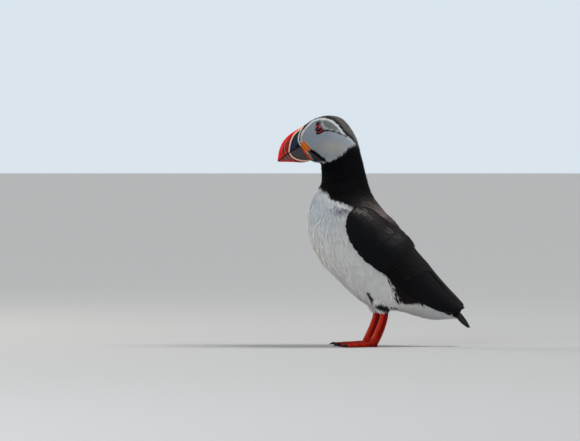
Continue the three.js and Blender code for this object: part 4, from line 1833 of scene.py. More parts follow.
@dataclass(frozen=True)
class WingForm:
    """The folded wing's outer face over (share from shoulder to tips, share from upper to lower edge)."""

    upper: Line = (
        (-27.6, 136.6), (-21, 141.4), (-9, 139), (5, 131), (19, 121), (36.4, 112), (44.8, 99.8),
        (55.6, 86.6), (67, 72), (77.2, 59.8), (86, 50.4), (92.2, 43.8), (94.8, 40.4))
    lower: Line = (
        (-28.4, 134.4), (-28.8, 127), (-24.6, 113), (-16, 100), (-5, 88), (8.6, 76.4), (23, 64), (38, 52),
        (53.4, 42.8), (67, 36.6), (79.4, 34.6), (89.4, 36.6), (94.2, 39.2))
    upper_out: tuple[float, ...] = (39.6, 38, 35.6, 33.4, 27.4, 17.8, 8.4, 3.6, 2.2, 1.8, 1.6, 2.4, 4.4)
    lower_out: tuple[float, ...] = (40, 41.6, 43.2, 43.4, 43, 40.8, 37, 30.2, 22.6, 16, 10.8, 7.4, 5.2)
    bulge: tuple[float, ...] = (0.8, 4.4, 6.4, 8.4, 9.8, 11.4, 11.4, 9.4, 7, 4.6, 2.6, 1.2, 0.2)
    inner: tuple[float, ...] = (0.6, 6, 9, 11, 11, 10, 7, 3, 1, 0.4, 0, 0, 0)
    edge: float = 0.6

    def point(self, u: Array, v: Array, level: float | Array = 0.0, inner: bool = False) -> Array:
        """Points on the wing's outer face, or on its inner one, which may run on past the edges.

        Args:
            u: shares along the wing.
            v: shares across it.
            level: millimetres outwards.
            inner: whether the inner face is meant.

        Returns:
            The points of the left wing.
        """
        top = through([(o, *p) for p, o in zip(self.upper, self.upper_out)], u)
        base = through([(o, *p) for p, o in zip(self.lower, self.lower_out)], u)
        form = through(list(zip(self.bulge, self.inner)), u)
        chord = unit(base - top)
        outward = unit(np.array([1.0, 0, 0]) - chord * chord[..., :1])
        bow = -form[..., 1] if inner else form[..., 0]
        rise = bow * np.sin(math.pi * np.clip(v, 0, 1)) ** 0.85 + (-self.edge if inner else self.edge) + level
        past = np.where(v < 0, -v, np.where(v > 1, v - 1, 0)) * np.linalg.norm(base - top, axis=-1)
        return top + (base - top) * v[..., None] + outward * (rise - 0.55 * past)[..., None]


@dataclass(frozen=True)
class Feather:
    """One vane: its quill's track on a surface, its width, and how it rises over its neighbours."""

    track: Line
    width: float
    lift: Pair
    roll: float = 0.3
    shade: float = 1.0
    point: float = 2.0
    full: float = 0.62
    thick: float = 0.26


@dataclass
class FeatherBed:
    """Lays vanes over a surface given by two shares, so that they follow its curves."""

    place: Callable[[Array, Array], Array]
    rings: int = 16
    seed: int = 3
    ribs: tuple[float, ...] = (-1, -0.72, -0.36, 0, 0.36, 0.72, 1)
    under: tuple[float, ...] = (0.6, 0, -0.6)
    shapes: list[Shape] = field(default_factory=list)

    def slopes(self, u: Array, v: Array) -> tuple[Array, Array, Array]:
        """The surface's slopes along and across, and its outward way.

        Args:
            u: shares along it.
            v: shares across it.

        Returns:
            Three arrays of vectors.
        """
        step = 2e-3
        along = (self.place(u + step, v) - self.place(u - step, v)) / (2 * step)
        across = (self.place(u, v + step) - self.place(u, v - step)) / (2 * step)
        return along, across, unit(np.cross(across, along))

    def add(self, feather: Feather) -> None:
        """Lays one feather.

        Args:
            feather: its track from root to tip, in the surface's shares, and its form.
        """
        rng = np.random.default_rng(self.seed + len(self.shapes))
        s = np.linspace(0, 1, self.rings)
        track = through(feather.track, s)
        u, v = track[:, 0], track[:, 1]
        du, dv, out = self.slopes(u, v)
        way = unit(np.gradient(self.place(u, v), axis=0))
        beside = unit(np.cross(out, way))
        g11, g12, g22 = (np.sum(a * b, -1) for a, b in ((du, du), (du, dv), (dv, dv)))
        b1, b2 = np.sum(du * beside, -1), np.sum(dv * beside, -1)
        det = np.maximum(g11 * g22 - g12 ** 2, 1e-9)
        step_u, step_v = (b1 * g22 - b2 * g12) / det, (b2 * g11 - b1 * g12) / det
        full = np.clip((s - feather.full) / (1 - feather.full), 0, 1)
        wide = (0.35 + 0.65 * smooth(0, 0.3, s)) * np.maximum(1 - full ** feather.point, 0) ** 0.5
        wide = feather.width / 2 * np.maximum(wide, 0.03)
        worn = 1 - 0.10 * (rng.random((2, self.rings)) < 0.16)
        across = np.array([*self.ribs, *self.under], float)
        top = np.arange(len(across)) < len(self.ribs)
        reach = wide[:, None] * across * np.where(across < 0, worn[0][:, None], worn[1][:, None])
        hump = np.where(top, np.maximum(0.0, 1 - np.abs(across)) ** 0.5 * 0.5 + 0.12 * (across == 0), -0.35)
        hump = np.where(np.abs(across) == 1, 0.0, hump)
        level = (feather.lift[0] + (feather.lift[1] - feather.lift[0]) * s[:, None]
                 + feather.roll * across * np.minimum(1, wide / feather.width * 2)[:, None]
                 + feather.thick * hump)
        uu, vv = u[:, None] + reach * step_u[:, None], v[:, None] + reach * step_v[:, None]
        points = self.place(uu, vv) + out[:, None, :] * level[..., None]
        length = np.sum(np.linalg.norm(np.diff(self.place(u, v), axis=0), axis=1))
        shape = Shape.loft(points)
        count = len(across)
        shape.values = {
            "along": np.append(np.repeat(s, count), (0, 1)),
            "across": np.append(np.tile(across, self.rings), (0, 0)),
            "along_mm": np.append(np.repeat(s * length, count), (0, length)),
            "shade": np.full(self.rings * count + 2, feather.shade)}
        self.shapes.append(shape)

    def shape(self) -> Shape:
        """All feathers as one shape, each on a strip of its own in the bake's map.

        Returns:
            The shape.
        """
        side = math.ceil(len(self.shapes) ** 0.5)
        for index, shape in enumerate(self.shapes):
            row, column = divmod(index, side)
            place = np.stack([column + 0.5 + 0.42 * shape.values["across"],
                              row + 0.05 + 0.9 * shape.values["along"]], -1)
            shape.values[BAKE_MAP] = place / side
        return Shape.together(self.shapes)


@dataclass
class Wings:
    """Both folded wings: a dark core and, over it, rows of feathers from the tips to the shoulder."""

    form: WingForm
    vane: Material
    worn: Material
    hand_tips: Line = (
        (0.79, 0.09), (0.83, 0.08), (0.87, 0.08), (0.91, 0.10), (0.95, 0.14), (0.995, 0.35), (0.970, 0.68),
        (0.940, 0.99))
    secondaries: int = 13
    inner_reaches: tuple[float, ...] = (0.955, 0.90, 0.83, 0.75)
    coverts: int = 14
    covert_rows: tuple[tuple[float, float, float, float], ...] = (
        (0.475, 0.15, 7.4, 0.30), (0.415, 0.115, 6.6, 0.42), (0.36, 0.095, 6.0, 0.5))
    scapular_rows: Line = ((-0.16, 0.3), (-0.02, 0.6), (0.12, 0.7), (0.25, 0.55))
    small_rows: int = 14
    small_gap: float = 3.3
    core_rings: int = 60
    core_steps: int = 16

    def core(self) -> Shape:
        """The wing's body under its feathers.

        Returns:
            A closed form.
        """
        u, v = np.broadcast_arrays(np.linspace(0.0, 0.90, self.core_rings)[:, None],
                                   np.linspace(0.02, 0.98, self.core_steps))
        outer = self.form.point(u, v, -1.5)
        inner = self.form.point(u, v, 0.8, inner=True)[:, ::-1]
        shape = Shape.loft(np.concatenate([outer, inner], axis=1))
        blank = np.zeros(len(shape.points))
        shape.values = {"along": blank, "across": blank, "along_mm": blank, "shade": blank + 0.8}
        return shape

    def bed(self, seed: int) -> FeatherBed:
        """A fresh bed on the wing's face."""
        return FeatherBed(self.form.point, seed=seed)

    def hand(self) -> Shape:
        """Primaries, the shortest on top, and their tips in steps.

        Returns:
            The feathers.
        """
        bed = self.bed(100)
        for k, tip in enumerate(self.hand_tips):
            t = k / (len(self.hand_tips) - 1)
            root = (0.48 - 0.05 * t, 0.30 + 0.62 * t)
            middle = (0.68 + 0.09 * t, 0.22 + 0.62 * t ** 0.9)
            low = -0.35 - 0.65 * t
            bed.add(Feather((root, middle, tip), 9.0 - 1.8 * t, (low - 0.5, low + 0.2), -0.25,
                            0.8 + 0.12 * (k % 2), 1.2, 0.34))
        return bed.shape()

    def arm(self) -> Shape:
        """Secondaries and the long inner feathers along the wing's upper edge.

        Returns:
            The feathers.
        """
        bed = self.bed(200)
        for k in range(self.secondaries):
            t = k / (self.secondaries - 1)
            tip = (0.632 - 0.115 * t, 0.04 + 0.90 * t)
            root = (0.34 - 0.02 * t, 0.10 + 0.82 * t)
            shade = (1.15 - 0.7 * t) * (1.0 + 0.16 * (k % 3 == 0))
            bed.add(Feather((root, ((root[0] + tip[0]) / 2, root[1] * 0.5 + tip[1] * 0.5), tip), 8.2,
                            (-1.2, 0.15 - 0.35 * t), -0.35, shade, 2.2, 0.75))
        for k, reach in enumerate(self.inner_reaches):
            bed.add(Feather(((0.46, 0.12), (0.6, 0.06 + 0.015 * k), (reach, 0.03 + 0.02 * k)),
                            7.4 - 0.4 * k, (-0.6, 0.1 + 0.18 * k), -0.2, 1.9, 1.8, 0.6))
        return bed.shape()

    def shoulder(self) -> Shape:
        """Greater and median coverts in rows across the wing.

        Returns:
            The feathers.
        """
        bed = self.bed(300)
        for tip_u, length, width, lift in self.covert_rows:
            for k in range(self.coverts):
                t = k / (self.coverts - 1)
                tip = (tip_u - 0.055 * t, 0.02 + 0.95 * t)
                root = (tip[0] - length, min(0.97, 0.06 + 0.92 * t))
                bed.add(Feather((root, tip), width, (-1.0, lift), -0.3, 0.95 + 0.12 * (k % 2), 2.4, 0.6))
        return bed.shape()

    def scapulars(self) -> Shape:
        """Broad feathers that run from the mantle down over the wing's upper edge.

        Returns:
            The feathers.
        """
        bed = self.bed(400)
        for row, (v, lift) in enumerate(self.scapular_rows):
            for k in range(8 + row):
                tip_u = 0.10 + 0.041 * k + 0.018 * (row % 2) - 0.022 * row
                near_edge = v * (1 - 2.6 * max(0.0, tip_u - 0.1)) if v < 0 else v
                tip = (tip_u, near_edge + 0.03 * math.sin(k * 1.7))
                root = (max(0.005, tip_u - 0.10), near_edge - 0.02)
                lit = 1.0 + 18.0 * math.exp(-((tip_u - 0.15) / 0.06) ** 2 - ((v - 0.07) / 0.11) ** 2)
                lit += 6.0 * math.exp(-((tip_u - 0.36) / 0.03) ** 2 - ((v - 0.12) / 0.10) ** 2)
                lit += 0.25 * (k % 3 == 1)
                bed.add(Feather((root, tip), 7.2, (-0.5, lift), 0.1, lit, 2.2, 0.5))
        return bed.shape()

    def lesser(self) -> Shape:
        """Small coverts in staggered rows over the front of the wing.

        Returns:
            The feathers.
        """
        bed = FeatherBed(self.form.point, 8, 600, (-1, -0.5, 0, 0.5, 1), (0,))
        for row in range(self.small_rows):
            tip_u = 0.045 + 0.0225 * row
            edge = self.form.point(np.array([tip_u, tip_u]), np.array([0.0, 1.0]))
            count = max(3, round(float(np.linalg.norm(edge[0] - edge[1])) / self.small_gap))
            for k in range(count + 1):
                v = min((k + 0.5 * (row % 2)) / count, 1.01)
                tone = 1.0 + 0.05 * ((k * 7 + row * 3) % 5 - 2)
                bed.add(Feather(((max(0.002, tip_u - 0.055), v), (tip_u, v)), 5.4, (-1.0, 0.35), 0.12,
                                tone, 2.4, 0.45, 0.2))
        return bed.shape()

    def build(self) -> None:
        """Makes both wings."""
        parts = (("wing_coverts_feathers", self.shoulder(), self.vane, "wing_coverts"),
                 ("wing_secondaries_feathers", self.arm(), self.worn, "wing_secondaries"),
                 ("wing_primaries_feathers", self.hand(), self.vane, "wing_primaries"),
                 ("wing_small_coverts", self.lesser(), self.vane, ""),
                 ("wing_scapulars", self.scapulars(), self.worn, ""),
                 ("wing_core", self.core(), self.vane, ""))
        for side in Side:
            for name, shape, finish, node in parts:
                keep_on(side, name, shape, finish, "flight_feathers", node)


@dataclass
class Tail:
    """Twelve tail feathers in a low fan, with a few black coverts over their roots."""

    finish: Material
    path: Line = ((66, 47), (80, 42), (89, 35.5), (94.6, 28.6), (98.0, 22.8), (99.8, 18.8))
    half: tuple[float, ...] = (6.0, 8.0, 9.5, 10, 9.5, 9)
    droop: tuple[float, ...] = (4, 9.0, 10.5, 8.0, 5.0, 3.0)
    feathers: int = 12
    coverts: int = 7

    def place(self, u: Array, v: Array) -> Array:
        """Points on the fan.

        Args:
            u: from 0 at the root to 1 at the tip.
            v: from -1 to 1 across it.

        Returns:
            The points.
        """
        line = through(self.path, u)
        form = through(list(zip(self.half, self.droop)), u)
        return np.stack([form[..., 0] * v, line[..., 0], line[..., 1] - form[..., 1] * v ** 2], -1)

    def build(self) -> None:
        """Makes the tail."""
        bed = FeatherBed(self.place, seed=500)
        for k in range(self.feathers):
            v = (k - (self.feathers - 1) / 2) / (self.feathers / 2)
            tip = (1.0 - 0.20 * abs(v) ** 1.4, v * 0.82)
            rise = (0.1 - 0.9 * abs(v), 0.5 - 0.9 * abs(v))
            bed.add(Feather(((0.0, v * 0.6), (0.5, v * 0.75), tip), 6.4, rise, 0.2 if v > 0 else -0.2,
                            1.0, 1.4, 0.5, 0.32))
        for k in range(self.coverts):
            v = (k - (self.coverts - 1) / 2) / 3.6
            bed.add(Feather(((0.0, v * 0.7), (0.42 - 0.06 * abs(v), v * 0.8)), 7.0, (0.5, 1.2 - abs(v)), 0.0,
                            1.1, 2.0, 0.5))
        keep(piece("tail_feathers", bed.shape(), self.finish), "flight_feathers", "tail")


# Legs and feet


@dataclass(frozen=True)
class Station:
    """One station of a limb in side view: where, how deep front to back, and how wide."""

    at: Pair
    deep: float
    wide: float


THIGH = (Station((3, 64), 12, 9), Station((7.4, 50), 10.5, 8.4), Station((9.6, 41), 8.2, 6.6),
         Station((10.4, 36), 6.2, 4.6))
TARSUS = (Station((11, 41), 4.0, 2.8), Station((10.2, 31), 4.1, 2.6), Station((6.9, 20.2), 4.4, 2.6),
          Station((3.2, 11.6), 4.6, 3.0), Station((-0.8, 3.4), 4.4, 3.4))


@dataclass(frozen=True)
class Toe:
    """A toe's name, length and heading on the floor, in degrees outwards from straight ahead."""

    name: str
    length: float
    heading: float


TOES = (Toe("inner", 27, -26), Toe("middle", 34.6, 3), Toe("outer", 33, 31))


@dataclass
class Leg:
    """One leg: feathered thigh, scaled tarsus, and a webbed foot with three claws.

    Its foot can stand some millimetres ahead, and can be turned out by some degrees more than its toes are.
    """

    side: Side
    coat: Coat
    markings: Markings
    flesh: Material
    horn: Material
    ahead: float = 0.0
    turned_out: float = 0.0
    out: float = 17.0
    joint: Pair = (-0.6, 3.0)
    heights: Line = ((0, 3.0), (0.22, 2.5), (0.45, 2.2), (0.72, 1.9), (1.0, 1.5))
    radii: Pair = (2.9, 1.65)
    knuckles: tuple[float, ...] = (0.30, 0.62, 0.93)
    web: float = 1.15
    scallop: float = 0.86
    claw_length: float = 6.8
    claw_radius: float = 1.45
    hook: Line = ((-0.12, 1.7), (0, 1.85), (0.35, 2.2), (0.72, 1.6), (1, 0.35))
    sides: int = 28
    bar_sides: int = 20
    thigh_rings: int = 30
    covered_rings: int = 26
    thigh_coat: float = 1.1
    toe_scale: float = 1.45
    shin_scale: float = 1.7
    sole: float = 0.45
    cell: float = 0.38
    orange: Colour = (0.62, 0.022, 0.005)
    red: Colour = (0.17, 0.002, 0.002)
    dusky: Colour = (0.050, 0.002, 0.003)
    # pale is a painted highlight along the front of the shin.
    pale: Colour = (0.66, 0.12, 0.05)
    claw_black: Colour = (0.006, 0.006, 0.007)

    def limb(self, stations: Sequence[Station], rings: int, grow: float = 0.0) -> Array:
        """Rings round a limb's stations, made for the left.

        Args:
            stations: the stations from top to bottom.
            rings: how many rings.
            grow: how much bigger the limb is made all round.

        Returns:
            An array of rings by points by XYZ.
        """
        share = np.linspace(0, 1, rings)
        at = through([s.at for s in stations], share)
        way = unit(np.gradient(at, axis=0))[:, None]
        form = through([(s.deep, s.wide) for s in stations], share)[:, None] + grow
        angle = turns(self.sides)
        reach = form[..., 0] * np.cos(angle)
        return np.stack([self.out + form[..., 1] * np.sin(angle),
                         at[:, None, 0] - self.ahead - way[..., 1] * reach,
                         at[:, None, 1] + way[..., 0] * reach], -1)

    def way(self, toe: Toe) -> Array:
        """The way a toe points, made for the left."""
        heading = math.radians(toe.heading + self.turned_out)
        return np.array([math.sin(heading), -math.cos(heading)])

    def toe_line(self, toe: Toe, share: Array) -> Array:
        """Points along the middle of a toe, made for the left.

        Args:
            toe: the toe.
            share: shares along it.

        Returns:
            The points.
        """
        x, y = self.way(toe)
        run = share * toe.length
        z = np.interp(share, *np.array(self.heights).T)
        return np.stack([self.out + x * run, self.joint[0] - self.ahead + y * run, z], -1)

    def bar(self, line: Array, radius: Array, flat: float = 1.0) -> Shape:
        """A round bar along a line that lies near the floor.

        Args:
            line: the line's points.
            radius: the radius at each.
            flat: how high it is for its width.

        Returns:
            The bar.
        """
        way = unit(np.gradient(line, axis=0))
        beside = unit(np.cross(way, [0, 0, 1.0]))
        above = np.cross(beside, way)
        angle = turns(self.bar_sides)
        rings = (line[:, None] + beside[:, None] * (radius[:, None] * np.cos(angle))[..., None]
                 + above[:, None] * (flat * radius[:, None] * np.sin(angle))[..., None])
        rings[..., 2] = np.maximum(rings[..., 2], 0.0)
        return Shape.loft(rings)

    def toe(self, toe: Toe) -> Shape:
        """A toe with its knuckles and pads.

        Args:
            toe: the toe.

        Returns:
            The toe's form.
        """
        share = np.linspace(-0.02, 1.0, 40)
        radius = np.interp(share, (0, 1), self.radii)
        for joint in self.knuckles:
            radius = radius * (1 + 0.13 * hill(share - joint, 0.06))
        radius[-1] *= 0.6
        return self.bar(self.toe_line(toe, share), radius, 0.92)

    def web_between(self, one: Toe, other: Toe) -> Shape:
        """The web between two toes, scalloped in front and slack in the middle.

        Args:
            one: the toe on its inner side.
            other: the toe on its outer side.

        Returns:
            The web.
        """
        rows, columns = 48, 40
        t = np.linspace(0.02, 0.98, rows)[:, None]
        w = np.linspace(0, 1, columns)
        share = t * (1 - (1 - self.scallop) * np.sin(math.pi * w))
        a, b = self.toe_line(one, share), self.toe_line(other, share)
        flat = a * (1 - w[:, None]) + b * w[:, None]
        arch = 0.35 * np.sin(math.pi * w) * np.sin(math.pi * t)
        crinkle = 0.16 * np.sin(w * 34 + 3 * t) * np.sin(math.pi * w) + 0.10 * np.sin(t * 42 + 5 * w)
        top, bottom = flat.copy(), flat[:, ::-1].copy()
        top[..., 2] = self.web + arch + crinkle
        bottom[..., 2] = 0.0
        return Shape.loft(np.concatenate([top, bottom], axis=1))

    def foot_mesh(self) -> Mesh:
        """Tarsus, toes and webs, fused and scaled.

        Returns:
            The mesh with its tint.
        """
        back, front = (self.out, 3.2 - self.ahead, 3.0), (self.out, -4.0 - self.ahead, 3.0)
        parts = [Shape.loft(self.limb(TARSUS, 60)), self.bar(np.array([back, front]), np.array([3.4, 3.3]))]
        parts += [self.toe(toe) for toe in TOES]
        parts += [self.web_between(*pair) for pair in zip(TOES[:-1], TOES[1:])]
        mesh = fused(Shape.together(parts).on(self.side), f"foot_{self.side.word}", self.cell, 2)
        points = read_vectors(mesh.vertices, "co") / MM
        normals = read_vectors(mesh.vertex_normals, "vector")
        bands = self.bands(points)
        points = points + normals * (0.08 * bands * smooth(0.5, 1.2, points[:, 2]))[:, None]
        points[:, 2] = np.where(points[:, 2] < self.sole, 0.0, points[:, 2])
        mesh.vertices.foreach_set("co", (points * MM).ravel())
        mesh.update()
        write_value(mesh, "tint", self.tint(points, bands))
        mesh.shade_smooth()
        return mesh

    def bands(self, points: Array) -> Array:
        """The cross scales on the front of the tarsus and the tops of the toes.

        Args:
            points: the foot's points.

        Returns:
            Values from -1 to 1.
        """
        mirrored = points * (self.side.value, 1, 1)
        total = np.zeros(len(points))
        steps = 50
        for toe in TOES:
            line = self.toe_line(toe, np.linspace(0, 1, steps))
            gap = np.linalg.norm(mirrored[:, None, :2] - line[None, :, :2], axis=2)
            run = gap.argmin(1) / (steps - 1) * toe.length
            wave = np.cos(math.tau * run / self.toe_scale)
            total += wave * smooth(2.5, 1.4, gap.min(1)) * smooth(9, 6, points[:, 2]) * (run > 1)
        front = smooth(0.0, 1.5, self.in_front(mirrored))
        total += np.cos(math.tau * points[:, 2] / self.shin_scale) * smooth(5, 8, points[:, 2]) * front
        return np.clip(total, -1, 1)

    def in_front(self, points: Array) -> Array:
        """How far points lie in front of the tarsus's middle."""
        at = np.array([s.at for s in TARSUS[::-1]])
        return np.interp(points[:, 2], at[:, 1], at[:, 0]) - self.ahead - points[:, 1]

    def tint(self, points: Array, bands: Array) -> Array:
        """The leg's colours: orange-red, darker on webs, soles and joints, with a painted highlight along the
        front of the shin.

        Args:
            points: the foot's points.
            bands: the cross scales there.

        Returns:
            RGBA rows.
        """
        mirrored = points * (self.side.value, 1, 1)
        lines = np.vstack([self.toe_line(t, np.linspace(0, 1, 60)) for t in TOES])
        gap = np.linalg.norm(mirrored[:, None, :2] - lines[None, :, :2], axis=2).min(1)
        patch = ripple(points, 7.0, 31)
        ahead = self.in_front(mirrored)
        shank = smooth(7, 11, points[:, 2])
        web = smooth(2.2, 3.4, gap) * smooth(6.0, 4.0, points[:, 2])
        return opaque(layered(
            self.orange,
            (self.red, np.clip(0.45 + 0.25 * patch, 0, 1) * (1 - shank)),
            (self.red, shank * np.clip(smooth(1.6, -0.8, ahead) + 0.15 * patch, 0.1, 0.95)),
            (self.red, 0.75 * web),
            (self.dusky, 0.45 * web * smooth(0.2, 0.9, ripple(points, 3.0, 33))),
            (self.dusky, 0.8 * smooth(0.6, 0.1, points[:, 2])),
            (self.dusky, 0.2 * smooth(0.0, -1.0, bands)),
            # Painted highlight along the front of the shin.
            (self.pale, smooth(2.1, 3.2, ahead) * shank * (0.28 + 0.1 * bands)),
            (self.orange, 0.6 * smooth(-2.8, -3.8, ahead) * shank)))

    def claw(self, toe: Toe) -> Shape:
        """A hooked claw that carries a toe's line on and down to the floor, made for the left.

        Args:
            toe: the toe.

        Returns:
            The claw with its tint.
        """
        x, y = self.way(toe)
        start = self.toe_line(toe, np.array([1.0]))[0]
        share = np.linspace(self.hook[0][0], 1, 26)
        run = share * self.claw_length + 0.3
        z = np.interp(share, *np.array(self.hook).T)
        z = np.convolve(np.pad(z, 3, mode="edge"), np.ones(7) / 7, mode="valid")
        radius = self.claw_radius * np.maximum(0.12, 1 - np.maximum(share, 0) ** 1.6)
        shape = self.bar(np.stack([start[0] + x * run, start[1] + y * run, z], -1), radius)
        return shape.tinted(np.tile(self.claw_black, (len(shape.points), 1)))

    def thigh_emitter(self) -> Shape:
        """The thigh's surface, for its coat.

        Returns:
            The surface with everything that the planting reads.
        """
        rings = self.limb(THIGH, self.thigh_rings, -self.thigh_coat)[:self.covered_rings]
        rows, count = rings.shape[:2]
        lie = unit(np.gradient(rings, axis=0))
        outward = unit(np.cross(np.roll(rings, -1, axis=1) - np.roll(rings, 1, axis=1), lie))
        t = np.repeat(np.linspace(0, 1, rows), count)
        round_ = np.tile(np.arange(count) / count, rows)
        flip = (self.side.value, 1, 1)
        shape = Shape(rings.reshape(-1, 3), grid_faces(rows, count, closed=True).tolist()).on(self.side)
        shape.values = {
            "lie": lie.reshape(-1, 3) * flip, "outward": outward.reshape(-1, 3) * flip,
            "length": np.interp(t, (0, 1), THIGH_COAT.length) * MM,
            "width": np.interp(t, (0, 1), THIGH_COAT.width) * MM,
            "pitch": np.interp(t, (0, 1), (0.16, 0.10)),
            "unwrap": np.stack([0.02 + 0.95 * round_, 0.02 + 0.95 * t, 0 * t], -1),
            "plumage": self.markings.colour(shape.points)}
        return shape

    def build(self) -> None:
        """Makes the leg's bare parts and the thigh's coat."""
        word = self.side.word
        foot = piece(f"leg_and_foot_{word}", self.foot_mesh(), self.flesh)
        keep(foot, "leg_skin", f"tarsus_{word}", f"foot_{word}")
        for toe in TOES:
            name = f"claw_{toe.name}"
            keep_on(self.side, f"{name}_horn", self.claw(toe), self.horn, "claw_horn", name)
        self.coat.plant(self.thigh_emitter(), replace(THIGH_COAT, name=f"{THIGH_COAT.name}_{word}"))


# Skin and studio


@dataclass
class Skin:
    """One skin over head, neck, trunk, rump and thighs, inside the CAD's flesh by the coat's depth."""

    form: BodyForm
    markings: Markings
    legs: Sequence[Leg]
    finish: Material
    thigh_rings: int = 16
    thigh_depth: float = 1.6
    cell: float = 1.0
    nodes: tuple[str, ...] = ("head", "neck", "trunk", "rump", "thigh_left", "thigh_right")

    def build(self) -> None:
        """Makes the skin."""
        thighs = [Shape.loft(leg.limb(THIGH, self.thigh_rings, -self.thigh_depth)).on(leg.side)
                  for leg in self.legs]
        mesh = fused(Shape.together([self.form.skin(), *thighs]), "skin", self.cell, 3)
        write_value(mesh, "plumage", self.markings.colour(read_vectors(mesh.vertices, "co") / MM))
        keep(piece("skin", mesh, self.finish), "plumage", *self.nodes)


@dataclass(frozen=True)
class Lamp:
    """A soft square light, aimed at the bird's middle. Its sizes are in metres."""

    name: str
    place: tuple[float, float, float]
    size: float
    power: float
    colour: Colour


@dataclass
class Studio:
    """A pale floor, soft lights and the camera. Its sizes are in metres, apart from lens and sensor."""

    floor: Material
    camera_at: tuple[float, float, float] = (4.5, -0.0871, 0.181)
    tilt_down: float = 0.64
    lens: float = 269.0
    sensor: float = 36.0
    seen_to: float = 2000.0
    floor_half: float = 600.0
    middle: tuple[float, float, float] = (0.0, 0.0, 0.13)
    backdrop: Colour = (0.70, 0.78, 0.85)
    ambient: Colour = (0.86, 0.93, 1.0)
    ambient_strength: float = 0.42
    sun_from: tuple[float, float, float] = (0.05, 0.60, 1.0)
    sun_strength: float = 2.6
    sun_softness: float = 0.45
    sun_colour: Colour = (1.0, 0.97, 0.92)
    lamps: tuple[Lamp, ...] = (
        Lamp("fill", (1.7, -1.0, 0.9), 1.2, 13.0, (0.92, 0.96, 1.0)),
        Lamp("front_rim", (-0.6, -1.4, 0.7), 0.6, 9.0, (1.0, 0.88, 0.74)))

    def build(self) -> None:
        """Sets up floor, camera, lamps and backdrop."""
        h = self.floor_half / MM
        corners = np.array([(-h, -h, 0), (h, -h, 0), (h, h, 0), (-h, h, 0)])
        piece("floor", Shape(corners, [(0, 1, 2, 3)]), self.floor)
        camera = bpy.data.cameras.new("camera")
        camera.lens = self.lens
        camera.sensor_width = self.sensor
        camera.clip_end = self.seen_to
        tilt = math.radians(self.tilt_down)
        way = Vector((-math.cos(tilt), 0, -math.sin(tilt)))
        bpy.context.scene.camera = self.hang(camera, self.camera_at, way)
        middle = Vector(self.middle)
        for lamp in self.lamps:
            light = bpy.data.lights.new(lamp.name, "AREA")
            light.size = lamp.size
            light.energy = lamp.power
            light.color = lamp.colour
            self.hang(light, lamp.place, middle - Vector(lamp.place))
        sun = bpy.data.lights.new("sun", "SUN")
        sun.energy = self.sun_strength
        sun.angle = self.sun_softness
        sun.color = self.sun_colour
        self.hang(sun, self.sun_from, middle - Vector(self.sun_from))
        self.surround()
        bpy.context.scene.view_settings.view_transform = "Standard"

    def hang(self, thing: bpy.types.ID, place: Sequence[float], way: Vector) -> Object:
        """Hangs a light or the camera.

        Args:
            thing: its data.
            place: where it hangs, in metres.
            way: where it looks.

        Returns:
            The object.
        """
        obj = bpy.data.objects.new(thing.name, thing)
        obj.location = place
        obj.rotation_euler = way.to_track_quat("-Z", "Y").to_euler()
        bpy.context.scene.collection.objects.link(obj)
        return obj

    def surround(self) -> None:
        """Makes the pale backdrop, and the softer light that comes from all round."""
        world = bpy.data.worlds.new("backdrop")
        world.use_nodes = True
        nodes = NodeTree(world.node_tree)
        lit = world.node_tree.nodes["Background"]
        nodes.feed(lit.inputs["Color"], (*self.ambient, 1.0))
        nodes.feed(lit.inputs["Strength"], self.ambient_strength)
        seen = nodes.add("ShaderNodeBackground", Color=(*self.backdrop, 1.0))
        to_camera = nodes.add("ShaderNodeLightPath").outputs["Is Camera Ray"]
        choice = nodes.add("ShaderNodeMixShader", _0=to_camera, _1=lit.outputs[0], _2=seen.outputs[0])
        nodes.feed(world.node_tree.nodes["World Output"].inputs["Surface"], choice.outputs[0])
        bpy.context.scene.world = world


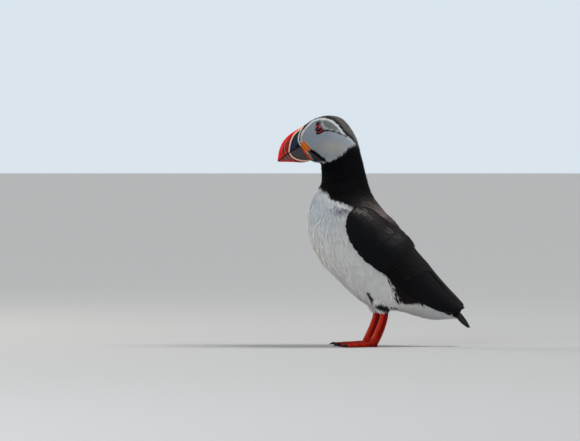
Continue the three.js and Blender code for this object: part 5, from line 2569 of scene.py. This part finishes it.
BARE_SKIN = (
    ((-110, 240), (-71.6, 233.0), (-73.0, 226.3), (-75.6, 219.5), (-76.3, 214.2), (-74.6, 212.8),
     (-71.4, 212.3), (-66.2, 205.4), (-66.8, 203.0), (-71.2, 203.0), (-64.6, 193.6), (-64.0, 188),
     (-110, 180)),
    tuple((-58.6 + 4.9 * math.cos(a), 225.0 + 4.9 * math.sin(a)) for a in np.linspace(0, 6.0, 20)),
    UPPER_PLATE.outline,
    LOWER_PLATE.outline)
UNDER_WING = (
    (-22, 134), (-14, 136), (8, 124), (30, 106), (46, 90), (62, 70), (80, 50), (86, 44), (80, 41), (66, 42),
    (52, 49), (36, 60), (22, 71), (8, 83), (-4, 95), (-14, 107), (-21, 122))


def main() -> None:
    """Builds the bird piece by piece, then the studio."""
    logging.basicConfig(level=logging.INFO, format="%(name)s %(message)s")
    form, markings = BodyForm(), Markings()
    horn = HornFinish("horn").material()
    soft = FleshFinish("soft_skin", 0.5, 1.7, 0.07).material()
    vane = VaneFinish("flight_vane").material()
    worn = VaneFinish("worn_vane", (0.0034, 0.0030, 0.0033), (0.020, 0.0145, 0.012), 0.55).material()
    coat = Coat(form, markings, PlantingTree(), PlumageFinish().material(), BARE_SKIN, UNDER_WING)
    flesh = FleshFinish("leg_skin", 0.42, 1.0, 0.14).material()
    legs = [Leg(Side.LEFT, coat, markings, flesh, horn),
            Leg(Side.RIGHT, coat, markings, flesh, horn, ahead=7.0, turned_out=18.0)]
    Skin(form, markings, legs, SkinFinish().material()).build()
    coat.build()
    for leg in legs:
        leg.build()
    bill = BillForm()
    Bill(bill, horn).build()
    Cere(bill, soft).build()
    ground = form.skin().tree()
    both = Shape.together([form.skin(), bill.whole()]).tree()
    ROSETTE.build(both, soft, "rosette_skin", "gape_rosette")
    GAPE_EDGE.build(ground, soft, "rosette_skin")
    UPPER_PLATE.build(ground, horn, "eye_plate", "eye_plate_upper")
    LOWER_PLATE.build(ground, horn, "eye_plate", "eye_plate_lower")
    Eyes(ground, EyeFinish().material(), soft).build()
    Wings(WingForm(), vane, worn).build()
    Tail(vane).build()
    Studio(FloorFinish().material()).build()


if __name__ == "__main__":
    main()
